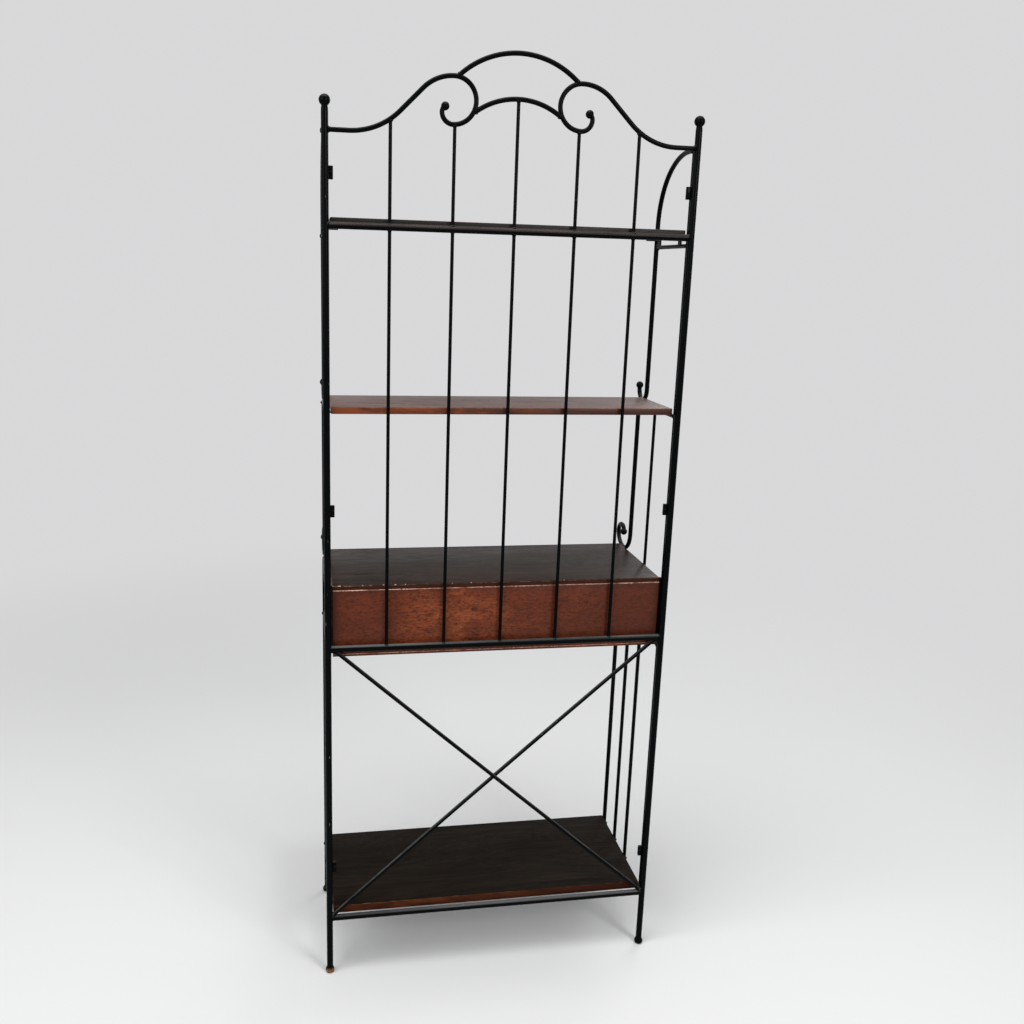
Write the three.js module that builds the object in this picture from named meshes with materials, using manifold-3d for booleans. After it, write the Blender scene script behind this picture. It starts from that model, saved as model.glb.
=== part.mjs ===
// Bakers rack of round iron bar with wooden shelves and a two-drawer case.
// Units are millimetres. X runs across the rack, Y from the drawer fronts at -Y
// to the grille at +Y, and Z up. The origin is on the floor under the middle.
// Depths are measured from the plane of the grille towards the drawer fronts.
import * as THREE from 'three';
import { mergeVertices } from 'three/addons/utils/BufferGeometryUtils.js';
import Module from 'manifold-3d';

const wasm = await Module();
wasm.setup();

// Driving sizes of the whole rack
const post_spacing = 675;
const front_leg_depth = 279;
const lower_rod_depth = 227;
const upper_rod_depth = 183;
const top_shelf_level = 1522;
const middle_shelf_level = 1187;
const counter_level = 843;
const base_shelf_level = 149.5;
const counter_rail_level = 718;
const base_rail_level = 127;
const top_rail_level = 1508;
const arch_level = 1666;
const finial_level = 1713;

// Bar stock
const post_diameter = 12.7;
const rod_diameter = 9.5;
const arch_diameter = 8.7;
const side_rail_diameter = 8;
const brace_diameter = 8;
const brace_lift = 4;
const bar_diameter = 6.4;
const lower_bar_diameter = 7.9;
const weld_gap = 0.3;
const piercing_gap = 0.3;
const merge_tolerance = 0.0001;

// Posts
const finial_diameter = 20;
const finial_neck_height = 7;
const foot_diameter = 18.5;
const foot_sole_diameter = 13;
const foot_height = 15;
const foot_belly_height = 6;

// Arched top of the grille
const arch_lead_run = 41;
const arch_sweep_radius = 125;
const arch_sweep_angle = 45;
const arch_shoulder_radius = 76;
const scroll_crest_offset = 115;
const scroll_radius_1 = 39.5;
const scroll_radius_2 = 40;
const scroll_radius_3 = 20;
const scroll_radius_4 = 11;
const scroll_tip_angle = 60;
const scroll_ball_diameter = 15;
const crown_half_span = 108;
const crown_rise = 43;
const inner_arch_rise = 26;
const inner_arch_drop = 58;

// Side frames
const upright_top_rise = 5;
const upright_bottom_drop = 9;
const canopy_drop = 0.5;
const canopy_run = 32;
const canopy_radius_1 = 151;
const canopy_angle_1 = 32;
const hook_radius = 23;
const hook_ball_rise = 6;
const rod_ball_diameter = 15.5;
const side_scroll_radius_1 = 40;
const side_scroll_lift_radius = 53;
const side_scroll_lift_angle = 35;
const side_scroll_radius_2 = 23.5;
const side_scroll_radius_3 = 19;
const side_scroll_crown_run = 5;
const side_scroll_radius_4 = 11.5;
const side_scroll_radius_5 = 7;
const side_scroll_tip_angle = 15;
const leg_bend_radius = 20;
const upper_side_bar_depth = 125;
const lower_side_bar_depth_1 = 123.6;
const lower_side_bar_depth_2 = 199.2;
const counter_arm_drop = 18.5;

// Shelf supports
const top_support_rise = 15;
const middle_support_rise = 4;
const case_support_rise = 5;
const base_support_rise = 5;
const support_reach = 28;
const support_width = 14;
const support_thickness = 3;
const support_rear_offset = 40;
const support_front_offset = 20;
const seat_gap = 0.3;

// Clips that join the side frames to the posts
const clip_level_top_left = 1588;
const clip_level_top_right = 1596;
const clip_level_middle_left = 985.5;
const clip_level_middle_right = 991;
const clip_level_bottom_left = 225;
const clip_level_bottom_right = 242;
const clip_height = 23;
const clip_reach = 7.7;
const clip_width = 6;
const clip_corner = 1.5;

// Shelves
const board_thickness = 13;
const base_board_thickness = 18;
const shelf_back_gap = 1.2;
const upper_shelf_side_gap = 2.15;
const upper_shelf_setback = 0.5;
const base_shelf_side_gap = 1.15;
const base_shelf_setback = 3.5;
const shelf_corner_radius = 2;

// Drawer case
const case_side_gap = 3.15;
const case_height = 144;
const case_setback = 13.5;
const case_top_thickness = 9;
const case_top_overhang = 0.5;
const case_bottom_thickness = 10;
const case_back_thickness = 8;
const case_end_thickness = 12;

// Drawers
const drawer_gap = 1.5;
const drawer_front_thickness = 14;
const drawer_front_bevel = 3;
const drawer_front_setback = 1;
const tray_wall = 9;
const tray_bottom = 5;
const tray_height = 96;
const tray_rear_gap = 18.5;
const tray_side_gap = 3;
const tray_ride = 0.5;
const knob_diameter = 28;
const knob_reach = 25;
const knob_stem_diameter = 12;
const knob_base_diameter = 18;
const knob_base_height = 3;

// Counts of facets and bars
const back_bar_count = 5;
const post_facets = 16;
const rod_facets = 12;
const bar_facets = 8;
const arc_step_angle = 11;

// Derived sizes shared by several pieces
const post_x = post_spacing / 2;
const post_radius = post_diameter / 2;
const upright_depth = post_radius + weld_gap + rod_diameter / 2;
const frame_inner_x = post_x - post_radius;
const upper_shelf_half_width = frame_inner_x - upper_shelf_side_gap;
const base_shelf_half_width = frame_inner_x - base_shelf_side_gap;
const case_half_width = frame_inner_x - case_side_gap;
const shelf_rear_depth = post_radius + shelf_back_gap;
const top_shelf_underside = top_shelf_level - board_thickness;
const middle_shelf_underside = middle_shelf_level - board_thickness;
const base_shelf_underside = base_shelf_level - base_board_thickness;
const case_underside = counter_level - case_height;
const upper_shelf_front = upper_rod_depth - upper_shelf_setback;
const base_shelf_front = front_leg_depth - base_shelf_setback;
const case_front = front_leg_depth - case_setback;
const top_side_rail_level = top_shelf_underside - top_support_rise;
const middle_side_rail_level = middle_shelf_underside - middle_support_rise;
const case_side_rail_level = case_underside - case_support_rise;
const base_side_rail_level = base_shelf_underside - base_support_rise;
const counter_arm_level = counter_level - counter_arm_drop;

const iron = new THREE.MeshStandardMaterial({ color: 0x16181a, roughness: 0.45, metalness: 0.7 });
const dark_board = new THREE.MeshStandardMaterial({ color: 0x2e211b, roughness: 0.45, metalness: 0 });
const red_board = new THREE.MeshStandardMaterial({ color: 0x6b3320, roughness: 0.5, metalness: 0 });
const raw_board = new THREE.MeshStandardMaterial({ color: 0xa87f55, roughness: 0.7, metalness: 0 });

// A closed three.js geometry becomes a solid that can be cut and joined.
function solidOf(geometry) {
  const bare = geometry.clone();
  bare.deleteAttribute('normal');
  bare.deleteAttribute('uv');
  const merged = mergeVertices(bare, merge_tolerance);
  const index = merged.index.array;
  const corners = [];
  for (let i = 0; i < index.length; i += 3) {
    const [a, b, c] = [index[i], index[i + 1], index[i + 2]];
    if (a !== b && b !== c && c !== a) corners.push(a, b, c);
  }
  const points = merged.attributes.position.array;
  const build = (list) => new wasm.Manifold(new wasm.Mesh({
    numProp: 3,
    vertProperties: new Float32Array(points),
    triVerts: new Uint32Array(list),
  }));
  const solid = build(corners);
  if (solid.volume() > 0) return solid;
  const turned = [];
  for (let i = 0; i < corners.length; i += 3) turned.push(corners[i], corners[i + 2], corners[i + 1]);
  return build(turned);
}

function geometryOf(solid) {
  const mesh = solid.getMesh();
  const geometry = new THREE.BufferGeometry();
  geometry.setAttribute('position', new THREE.BufferAttribute(new Float32Array(mesh.vertProperties), 3));
  geometry.setIndex(new THREE.BufferAttribute(new Uint32Array(mesh.triVerts), 1));
  geometry.computeVertexNormals();
  return geometry;
}

const rack = new THREE.Group();

function addPiece(name, solid, material) {
  const mesh = new THREE.Mesh(geometryOf(solid), material);
  mesh.name = name;
  rack.add(mesh);
  return mesh;
}

// A straight round bar between two points
function roundBar(start, end, diameter, facets) {
  const axis = new THREE.Vector3().subVectors(end, start);
  const shape = new THREE.CylinderGeometry(diameter / 2, diameter / 2, axis.length(), facets);
  const middle = new THREE.Vector3().addVectors(start, end).multiplyScalar(0.5);
  const turn = new THREE.Quaternion().setFromUnitVectors(new THREE.Vector3(0, 1, 0), axis.normalize());
  shape.applyQuaternion(turn);
  shape.translate(middle.x, middle.y, middle.z);
  return solidOf(shape);
}

// A path of stations with known tangents, so that straight runs take one step
class BentPath extends THREE.Curve {
  constructor(stations, place) {
    super();
    this.stations = stations;
    this.place = place;
  }
  station(share) {
    return this.stations[Math.round(share * (this.stations.length - 1))];
  }
  getPointAt(share, target = new THREE.Vector3()) {
    const { across, up } = this.station(share);
    return target.copy(this.place(across, up));
  }
  getPoint(share, target) {
    return this.getPointAt(share, target);
  }
  getTangentAt(share, target = new THREE.Vector3()) {
    const { heading } = this.station(share);
    const origin = this.place(0, 0);
    return target.copy(this.place(Math.cos(heading), Math.sin(heading))).sub(origin).normalize();
  }
}

// Follows straight runs and bends in a plane: turn is in degrees, and a positive one turns left.
function followBends(start, heading, moves) {
  const stations = [{ across: start[0], up: start[1], heading }];
  for (const move of moves) {
    const last = stations[stations.length - 1];
    if (move.run !== undefined) {
      stations.push({
        across: last.across + move.run * Math.cos(last.heading),
        up: last.up + move.run * Math.sin(last.heading),
        heading: last.heading,
      });
      continue;
    }
    const side = Math.sign(move.turn);
    const toCentre = last.heading + side * Math.PI / 2;
    const centre = [
      last.across + move.radius * Math.cos(toCentre),
      last.up + move.radius * Math.sin(toCentre),
    ];
    const steps = Math.max(2, Math.ceil(Math.abs(move.turn) / arc_step_angle));
    for (let i = 1; i <= steps; i += 1) {
      const turned = last.heading + THREE.MathUtils.degToRad(move.turn) * i / steps;
      stations.push({
        across: centre[0] - move.radius * Math.cos(turned + side * Math.PI / 2),
        up: centre[1] - move.radius * Math.sin(turned + side * Math.PI / 2),
        heading: turned,
      });
    }
  }
  return stations;
}

function ringShape(diameter, facets) {
  const points = [];
  for (let i = 0; i < facets; i += 1) {
    const angle = 2 * Math.PI * i / facets;
    points.push(new THREE.Vector2(Math.cos(angle), Math.sin(angle)).multiplyScalar(diameter / 2));
  }
  return new THREE.Shape(points);
}

function bentBar(stations, place, diameter, facets) {
  const path = new BentPath(stations, place);
  return solidOf(new THREE.ExtrudeGeometry(ringShape(diameter, facets), {
    steps: stations.length - 1,
    bevelEnabled: false,
    extrudePath: path,
  }));
}

function ball(centre, diameter, facets) {
  const shape = new THREE.SphereGeometry(diameter / 2, facets, facets / 2);
  shape.rotateX(Math.PI / 2);
  shape.translate(centre.x, centre.y, centre.z);
  return solidOf(shape);
}

// A profile of [radius, height] pairs turned about the vertical axis
function turned(profile, facets) {
  const points = profile.map(([radius, height]) => new THREE.Vector2(radius, height));
  const shape = new THREE.LatheGeometry(points, facets);
  shape.rotateX(Math.PI / 2);
  return solidOf(shape);
}

function block(low, high) {
  const size = high.map((value, i) => value - low[i]);
  const shape = new THREE.BoxGeometry(...size);
  shape.translate(...low.map((value, i) => value + size[i] / 2));
  return solidOf(shape);
}

// A board from depth to depth, with its long edges eased by a small round
function easedBoard(halfWidth, rear, front, underside, top) {
  const ease = Math.min(shelf_corner_radius, (top - underside) / 2);
  const outline = new THREE.Shape();
  outline.moveTo(-front + ease, underside);
  outline.lineTo(-rear, underside);
  outline.lineTo(-rear, top);
  outline.lineTo(-front + ease, top);
  outline.quadraticCurveTo(-front, top, -front, top - ease);
  outline.lineTo(-front, underside + ease);
  outline.quadraticCurveTo(-front, underside, -front + ease, underside);
  const shape = new THREE.ExtrudeGeometry(outline, {
    depth: 2 * halfWidth,
    bevelEnabled: false,
    curveSegments: 3,
  });
  shape.translate(0, 0, -halfWidth);
  shape.rotateX(Math.PI / 2);
  shape.rotateZ(Math.PI / 2);
  return solidOf(shape);
}

// Foot of a post or leg: a flat sole, a round belly and a waist into the bar
function footProfile(barRadius) {
  const sole = foot_sole_diameter / 2;
  const belly = foot_diameter / 2;
  const waist_share = 0.45;
  const rise_share = 0.55;
  const upper = foot_height - foot_belly_height;
  return [
    [0, 0],
    [sole, 0],
    [sole + (belly - sole) * rise_share, foot_belly_height * waist_share / 2],
    [belly, foot_belly_height],
    [barRadius + (belly - barRadius) * rise_share, foot_belly_height + upper * waist_share],
    [barRadius, foot_height],
  ];
}

function finialProfile() {
  const radius = finial_diameter / 2;
  const neck = finial_level - radius - finial_neck_height / 2;
  const profile = [[post_radius, neck]];
  const waist = Math.asin(post_radius / radius);
  const steps = post_facets / 2;
  for (let i = 1; i < steps; i += 1) {
    const angle = Math.PI - waist - (Math.PI - waist) * i / steps;
    profile.push([radius * Math.sin(angle), finial_level + radius * Math.cos(angle)]);
  }
  profile.push([0, finial_level + radius]);
  return profile;
}

const side_names = [['left', -1], ['right', 1]];
const grille = (across, up) => new THREE.Vector3(across, 0, up);
const mirroredGrille = (side) => (across, up) => new THREE.Vector3(side * across, 0, up);
const sidePlane = (side) => (depth, up) => new THREE.Vector3(side * post_x, -depth, up);

// A post-shaped cutter leaves the weld gap round a post when another bar meets it
function standingCutter(side, depth, diameter, facets) {
  const place = sidePlane(side);
  const top = finial_level + finial_diameter;
  return roundBar(place(depth, 0), place(depth, top), diameter + 2 * weld_gap, facets);
}

function postCutter(side) {
  return standingCutter(side, 0, post_diameter, post_facets);
}

function uprightCutter(side) {
  return standingCutter(side, upright_depth, rod_diameter, rod_facets);
}

function makePosts() {
  for (const [name, side] of side_names) {
    const profile = [...footProfile(post_radius), ...finialProfile()];
    const post = turned(profile, post_facets).translate([side * post_x, 0, 0]);
    addPiece(`post_${name}`, post, iron);
  }
}

// The half of the arched top that a scroll bar makes, from the post to its curled end
function archStations() {
  const sweep = THREE.MathUtils.degToRad(arch_sweep_angle);
  const line_start = post_x - arch_lead_run - arch_sweep_radius * Math.sin(sweep);
  const line_end = scroll_crest_offset + arch_shoulder_radius * Math.sin(sweep);
  return followBends([post_x, arch_level], Math.PI, [
    { run: arch_lead_run },
    { radius: arch_sweep_radius, turn: -arch_sweep_angle },
    { run: (line_start - line_end) / Math.cos(sweep) },
    { radius: arch_shoulder_radius, turn: arch_sweep_angle },
    { radius: scroll_radius_1, turn: 90 },
    { radius: scroll_radius_2, turn: 90 },
    { radius: scroll_radius_3, turn: 90 },
    { radius: scroll_radius_4, turn: scroll_tip_angle },
  ]);
}

// Height of the highest part of the scroll bar
function crestLevel() {
  return Math.max(...archStations().map((station) => station.up));
}

function scrollSolid(side, diameter) {
  const stations = archStations();
  const tip = stations[stations.length - 1];
  const place = mirroredGrille(side);
  const extra = diameter - arch_diameter;
  return bentBar(stations, place, diameter, rod_facets)
    .add(ball(place(tip.across, tip.up), scroll_ball_diameter + extra, rod_facets));
}

function scrollCutters() {
  return side_names.map(([, side]) => scrollSolid(side, arch_diameter + 2 * weld_gap));
}

// A circular arch over a span, its ends on the level given
function archOver(halfSpan, level, rise, diameter) {
  const radius = (halfSpan * halfSpan + rise * rise) / (2 * rise);
  const half_angle = Math.asin(halfSpan / radius);
  return bentBar(
    followBends([halfSpan, level], Math.PI - half_angle, [
      { radius, turn: THREE.MathUtils.radToDeg(2 * half_angle) },
    ]),
    grille, diameter, rod_facets,
  );
}

function innerArch(diameter) {
  return archOver(innerArchHalfSpan(), innerArchLevel(), inner_arch_rise, diameter);
}

function innerArchLevel() {
  return crestLevel() - inner_arch_drop;
}

function innerArchHalfSpan() {
  return scroll_crest_offset - scroll_radius_1 + arch_diameter / 4;
}

// Height of the arched top above a bar of the grille
function archLevelAt(offset) {
  const stations = archStations();
  if (offset < innerArchHalfSpan()) return innerArchLevel() + inner_arch_rise;
  if (offset < scroll_crest_offset) return crestLevel() - scroll_radius_1 - scroll_radius_2;
  const past = stations.findIndex((station) => station.across < offset);
  const [a, b] = [stations[past - 1], stations[past]];
  return b.up + (a.up - b.up) * (offset - b.across) / (a.across - b.across);
}

function makeArchedTop() {
  const cutters = scrollCutters();
  for (const [name, side] of side_names) {
    const scroll = scrollSolid(side, arch_diameter).subtract(postCutter(side));
    addPiece(`arch_scroll_${name}`, largest(scroll), iron);
  }
  const shorten = (solid) => largest(cutters.reduce((rest, cutter) => rest.subtract(cutter), solid));
  addPiece('crown_arch', shorten(archOver(crown_half_span, crestLevel(), crown_rise, arch_diameter)), iron);
  addPiece('inner_arch', shorten(innerArch(arch_diameter)), iron);
}

// Keeps the main body when a cut leaves a chip on the far side of a bar
function largest(solid) {
  const bodies = solid.decompose();
  return bodies.reduce((best, body) => (body.volume() > best.volume() ? body : best));
}

function barOffsets() {
  const pitch = post_spacing / (back_bar_count + 1);
  return Array.from({ length: back_bar_count }, (_, i) => (i + 1) * pitch - post_x);
}

function railSolid(level, diameter) {
  return roundBar(grille(-post_x, level), grille(post_x, level), diameter, post_facets);
}

function betweenPosts(solid) {
  return largest(side_names.reduce((rest, [, side]) => rest.subtract(postCutter(side)), solid));
}

function makeGrille() {
  const counter_cutter = railSolid(counter_rail_level, post_diameter + 2 * weld_gap);
  const crown_cutters = scrollCutters();
  const inner_cutter = innerArch(arch_diameter + 2 * weld_gap);
  let top_rail = railSolid(top_rail_level, post_diameter);
  barOffsets().forEach((offset, i) => {
    const low = grille(offset, counter_rail_level);
    const high = grille(offset, archLevelAt(Math.abs(offset)));
    let bar = roundBar(low, high, bar_diameter, bar_facets).subtract(counter_cutter);
    for (const cutter of [...crown_cutters, inner_cutter]) bar = bar.subtract(cutter);
    addPiece(`back_bar_${i + 1}`, largest(bar), iron);
    top_rail = top_rail.subtract(roundBar(low, high, bar_diameter + 2 * piercing_gap, bar_facets));
  });
  addPiece('top_rail', betweenPosts(top_rail), iron);
  addPiece('counter_rail', betweenPosts(railSolid(counter_rail_level, post_diameter)), iron);
  addPiece('base_rail', betweenPosts(railSolid(base_rail_level, post_diameter)), iron);
}

// Two braces run from corner to corner, each bowed by half a bar so that they pass where they cross
function makeBraces() {
  const names = ['brace_rising', 'brace_falling'];
  const bow = (brace_diameter + weld_gap) / 2;
  const rise = counter_rail_level - base_rail_level;
  const half = Math.hypot(post_spacing, rise) / 2;
  const radius = (half * half + bow * bow) / (2 * bow);
  const half_angle = Math.asin(half / radius);
  const stations = followBends([-half, 0], half_angle, [
    { radius, turn: -THREE.MathUtils.radToDeg(2 * half_angle) },
  ]);
  const rails = [counter_rail_level, base_rail_level]
    .map((level) => railSolid(level, post_diameter + 2 * weld_gap));
  names.forEach((name, i) => {
    const side = i === 0 ? 1 : -1;
    const place = (along, out) => new THREE.Vector3(
      side * along * post_x / half,
      -side * out,
      (counter_rail_level + base_rail_level) / 2 + brace_lift + along * rise / 2 / half,
    );
    let brace = bentBar(stations, place, brace_diameter, rod_facets);
    for (const rail of rails) brace = brace.subtract(rail);
    addPiece(name, betweenPosts(brace), iron);
  });
}

// Upright of a side frame, which stands against the front of its post
function makeUpright(name, side) {
  const place = sidePlane(side);
  const low = place(upright_depth, base_side_rail_level - upright_bottom_drop);
  const high = place(upright_depth, arch_level + upright_top_rise);
  addPiece(`side_upright_${name}`, roundBar(low, high, rod_diameter, rod_facets), iron);
}

// Upper front rod: a canopy curve out of the upright, a straight drop and a hooked end
function makeUpperRod(name, side, upright) {
  const place = sidePlane(side);
  const first = THREE.MathUtils.degToRad(canopy_angle_1);
  const reach = upper_rod_depth - upright_depth - canopy_run - canopy_radius_1 * Math.sin(first);
  const radius_2 = reach / (1 - Math.sin(first));
  const start_level = arch_level - canopy_drop;
  const fall = canopy_radius_1 * (1 - Math.cos(first)) + radius_2 * Math.cos(first);
  const rail_top = middle_side_rail_level + side_rail_diameter / 2;
  const hook_bottom = rail_top + seat_gap + rod_diameter / 2;
  const stations = followBends([upright_depth, start_level], 0, [
    { run: canopy_run },
    { radius: canopy_radius_1, turn: -canopy_angle_1 },
    { radius: radius_2, turn: canopy_angle_1 - 90 },
    { run: start_level - fall - hook_bottom - hook_radius },
    { radius: hook_radius, turn: 180 },
    { run: hook_ball_rise },
  ]);
  const tip = stations[stations.length - 1];
  const rod = bentBar(stations, place, rod_diameter, rod_facets)
    .add(ball(place(tip.across, tip.up), rod_ball_diameter, rod_facets))
    .subtract(upright);
  addPiece(`upper_front_rod_${name}`, largest(rod), iron);
}

// Lower front rod: hangs from the middle shelf's rail and ends in a scroll on the counter arm
function makeLowerRod(name, side, railCutter) {
  const place = sidePlane(side);
  const arm_top = counter_arm_level + rod_diameter / 2;
  const seat = arm_top + seat_gap + rod_diameter / 2;
  const start = middle_side_rail_level;
  const stations = followBends([lower_rod_depth, start], -Math.PI / 2, [
    { run: start - seat - side_scroll_radius_1 },
    { radius: side_scroll_radius_1, turn: 90 },
    { radius: side_scroll_lift_radius, turn: side_scroll_lift_angle },
    { radius: side_scroll_radius_2, turn: 90 - side_scroll_lift_angle },
    { radius: side_scroll_radius_3, turn: 90 },
    { run: side_scroll_crown_run },
    { radius: side_scroll_radius_4, turn: 90 },
    { radius: side_scroll_radius_5, turn: side_scroll_tip_angle },
  ]);
  const tip = stations[stations.length - 1];
  const rod = bentBar(stations, place, rod_diameter, rod_facets)
    .add(ball(place(tip.across, tip.up), rod_ball_diameter, rod_facets))
    .subtract(railCutter);
  addPiece(`lower_front_rod_${name}`, largest(rod), iron);
}

// Front leg: one bar from the floor to counter height, bent back to the upright
function legSolid(side, diameter) {
  const place = sidePlane(side);
  const rise = counter_arm_level - foot_height - leg_bend_radius;
  const back = front_leg_depth - leg_bend_radius - upright_depth;
  const stations = followBends([front_leg_depth, foot_height], Math.PI / 2, [
    { run: rise },
    { radius: leg_bend_radius, turn: 90 },
    { run: back },
  ]);
  return bentBar(stations, place, diameter, rod_facets);
}

function makeLeg(name, side, upright) {
  const profile = [...footProfile(rod_diameter / 2), [0, foot_height]];
  const foot = turned(profile, post_facets).translate([side * post_x, -front_leg_depth, 0]);
  const leg = legSolid(side, rod_diameter).subtract(upright).add(foot);
  addPiece(`front_leg_${name}`, largest(leg), iron);
}

// A ledge bent inwards from a side rail, on which a board rests
function supportSolid(side, depth, level, rise) {
  const top = rise - seat_gap;
  const outline = new THREE.Shape([
    new THREE.Vector2(0, 0),
    new THREE.Vector2(0, top),
    new THREE.Vector2(-support_reach, top),
    new THREE.Vector2(-support_reach, top - support_thickness),
    new THREE.Vector2(-support_thickness, top - support_thickness),
    new THREE.Vector2(-support_thickness, 0),
  ]);
  const shape = new THREE.ExtrudeGeometry(outline, { depth: support_width, bevelEnabled: false });
  shape.translate(0, 0, -support_width / 2);
  shape.rotateX(Math.PI / 2);
  shape.scale(side, 1, 1);
  shape.translate(side * post_x, -depth, level);
  return solidOf(shape);
}

function sideRailBar(side, level, frontDepth, diameter) {
  const place = sidePlane(side);
  return roundBar(place(upright_depth, level), place(frontDepth, level), diameter, rod_facets);
}

function makeSideRail(name, side, level, frontDepth, boardFront, rise, cutters) {
  const supports = [upright_depth + support_rear_offset, boardFront - support_front_offset];
  let rail = sideRailBar(side, level, frontDepth, side_rail_diameter);
  for (const depth of supports) rail = rail.add(supportSolid(side, depth, level, rise));
  for (const cutter of cutters) rail = rail.subtract(cutter);
  addPiece(name, largest(rail), iron);
}

function makeSideBar(name, side, depth, low, high, diameter, cutters) {
  const place = sidePlane(side);
  let bar = roundBar(place(depth, low), place(depth, high), diameter, bar_facets);
  for (const cutter of cutters) bar = bar.subtract(cutter);
  addPiece(name, largest(bar), iron);
}

function makeSideFrame(name, side) {
  const place = sidePlane(side);
  const grown_rod = rod_diameter + 2 * weld_gap;
  const grown_rail = side_rail_diameter + 2 * weld_gap;
  const upright = uprightCutter(side);
  const leg = legSolid(side, grown_rod);
  const upper_rod = roundBar(
    place(upper_rod_depth, middle_shelf_level), place(upper_rod_depth, top_shelf_level), grown_rod, rod_facets,
  );
  const middle_rail = sideRailBar(side, middle_side_rail_level, lower_rod_depth + rod_diameter / 2, grown_rail);
  const case_rail = sideRailBar(side, case_side_rail_level, front_leg_depth, grown_rail);
  const base_rail = sideRailBar(side, base_side_rail_level, front_leg_depth, grown_rail);
  makeUpright(name, side);
  makeUpperRod(name, side, upright);
  makeLowerRod(name, side, middle_rail);
  makeLeg(name, side, upright);
  makeSideRail(`top_side_rail_${name}`, side, top_side_rail_level, upper_rod_depth,
    upper_shelf_front, top_support_rise, [upright, upper_rod]);
  makeSideRail(`middle_side_rail_${name}`, side, middle_side_rail_level, lower_rod_depth + rod_diameter / 2,
    upper_shelf_front, middle_support_rise, [upright]);
  makeSideRail(`case_side_rail_${name}`, side, case_side_rail_level, front_leg_depth,
    case_front, case_support_rise, [upright, leg]);
  makeSideRail(`base_side_rail_${name}`, side, base_side_rail_level, front_leg_depth,
    base_shelf_front, base_support_rise, [upright, leg]);
  makeSideBar(`upper_side_bar_${name}`, side, upper_side_bar_depth,
    counter_arm_level, middle_side_rail_level, bar_diameter, [middle_rail, leg]);
  [lower_side_bar_depth_1, lower_side_bar_depth_2].forEach((depth, i) => {
    makeSideBar(`lower_side_bar_${i + 1}_${name}`, side, depth,
      base_side_rail_level, case_side_rail_level, lower_bar_diameter, [case_rail, base_rail]);
  });
}

// A clip is a tab in the seam between a post and its upright, and reaches towards the inside of the rack
function makeClips() {
  const levels = {
    top: { left: clip_level_top_left, right: clip_level_top_right },
    middle: { left: clip_level_middle_left, right: clip_level_middle_right },
    bottom: { left: clip_level_bottom_left, right: clip_level_bottom_right },
  };
  const reach = post_radius + clip_reach;
  const root = post_radius / 2;
  const half = clip_height / 2;
  for (const [height_name, level] of Object.entries(levels)) {
    for (const [name, side] of side_names) {
      const outline = new THREE.Shape([
        new THREE.Vector2(-root, half),
        new THREE.Vector2(clip_corner - reach, half),
        new THREE.Vector2(-reach, half - clip_corner),
        new THREE.Vector2(-reach, clip_corner - half),
        new THREE.Vector2(clip_corner - reach, -half),
        new THREE.Vector2(-root, -half),
      ]);
      const shape = new THREE.ExtrudeGeometry(outline, { depth: clip_width, bevelEnabled: false });
      shape.translate(0, 0, upright_depth / 2 - clip_width / 2);
      shape.rotateX(Math.PI / 2);
      shape.scale(side, 1, 1);
      shape.translate(side * post_x, 0, level[name]);
      const clip = solidOf(shape).subtract(postCutter(side)).subtract(uprightCutter(side));
      addPiece(`clip_${height_name}_${name}`, largest(clip), iron);
    }
  }
}

function makeShelves() {
  const shelves = [
    ['top_shelf', upper_shelf_half_width, upper_shelf_front, top_shelf_underside, top_shelf_level],
    ['middle_shelf', upper_shelf_half_width, upper_shelf_front, middle_shelf_underside, middle_shelf_level],
    ['base_shelf', base_shelf_half_width, base_shelf_front, base_shelf_underside, base_shelf_level],
  ];
  for (const [name, halfWidth, front, underside, top] of shelves) {
    addPiece(name, easedBoard(halfWidth, shelf_rear_depth, front, underside, top), dark_board);
  }
}

function makeCase() {
  const front = case_front;
  const inside_low = case_underside + case_bottom_thickness;
  const inside_high = counter_level - case_top_thickness;
  const inside_rear = shelf_rear_depth + case_back_thickness;
  addPiece('case_top', easedBoard(case_half_width + case_top_overhang, shelf_rear_depth,
    front + case_top_overhang, inside_high, counter_level), dark_board);
  addPiece('case_bottom', block([-case_half_width, -front, case_underside],
    [case_half_width, -shelf_rear_depth, inside_low]), red_board);
  addPiece('case_back', block([-case_half_width, -inside_rear, inside_low],
    [case_half_width, -shelf_rear_depth, inside_high]), red_board);
  for (const [name, side] of side_names) {
    const edges = [side * case_half_width, side * (case_half_width - case_end_thickness)];
    addPiece(`case_end_${name}`, block([Math.min(...edges), -front, inside_low],
      [Math.max(...edges), -inside_rear, inside_high]), red_board);
  }
  addPiece('case_divider', block([-case_end_thickness / 2, -front, inside_low],
    [case_end_thickness / 2, -inside_rear, inside_high]), red_board);
}

// A drawer front with a bevel round its outer face
function frontSolid(centreX, halfWidth, low, high, outerDepth) {
  const bevel = drawer_front_bevel;
  const outline = new THREE.Shape([
    new THREE.Vector2(-halfWidth + bevel, low + bevel),
    new THREE.Vector2(halfWidth - bevel, low + bevel),
    new THREE.Vector2(halfWidth - bevel, high - bevel),
    new THREE.Vector2(-halfWidth + bevel, high - bevel),
  ]);
  const shape = new THREE.ExtrudeGeometry(outline, {
    depth: drawer_front_thickness,
    bevelSize: bevel,
    bevelThickness: bevel,
    bevelSegments: 2,
  });
  shape.rotateX(Math.PI / 2);
  shape.translate(centreX, -outerDepth + bevel + drawer_front_thickness, 0);
  const rear = -outerDepth + drawer_front_thickness;
  const limit = block([centreX - halfWidth, -outerDepth, low], [centreX + halfWidth, rear, high]);
  return solidOf(shape).intersect(limit);
}

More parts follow.
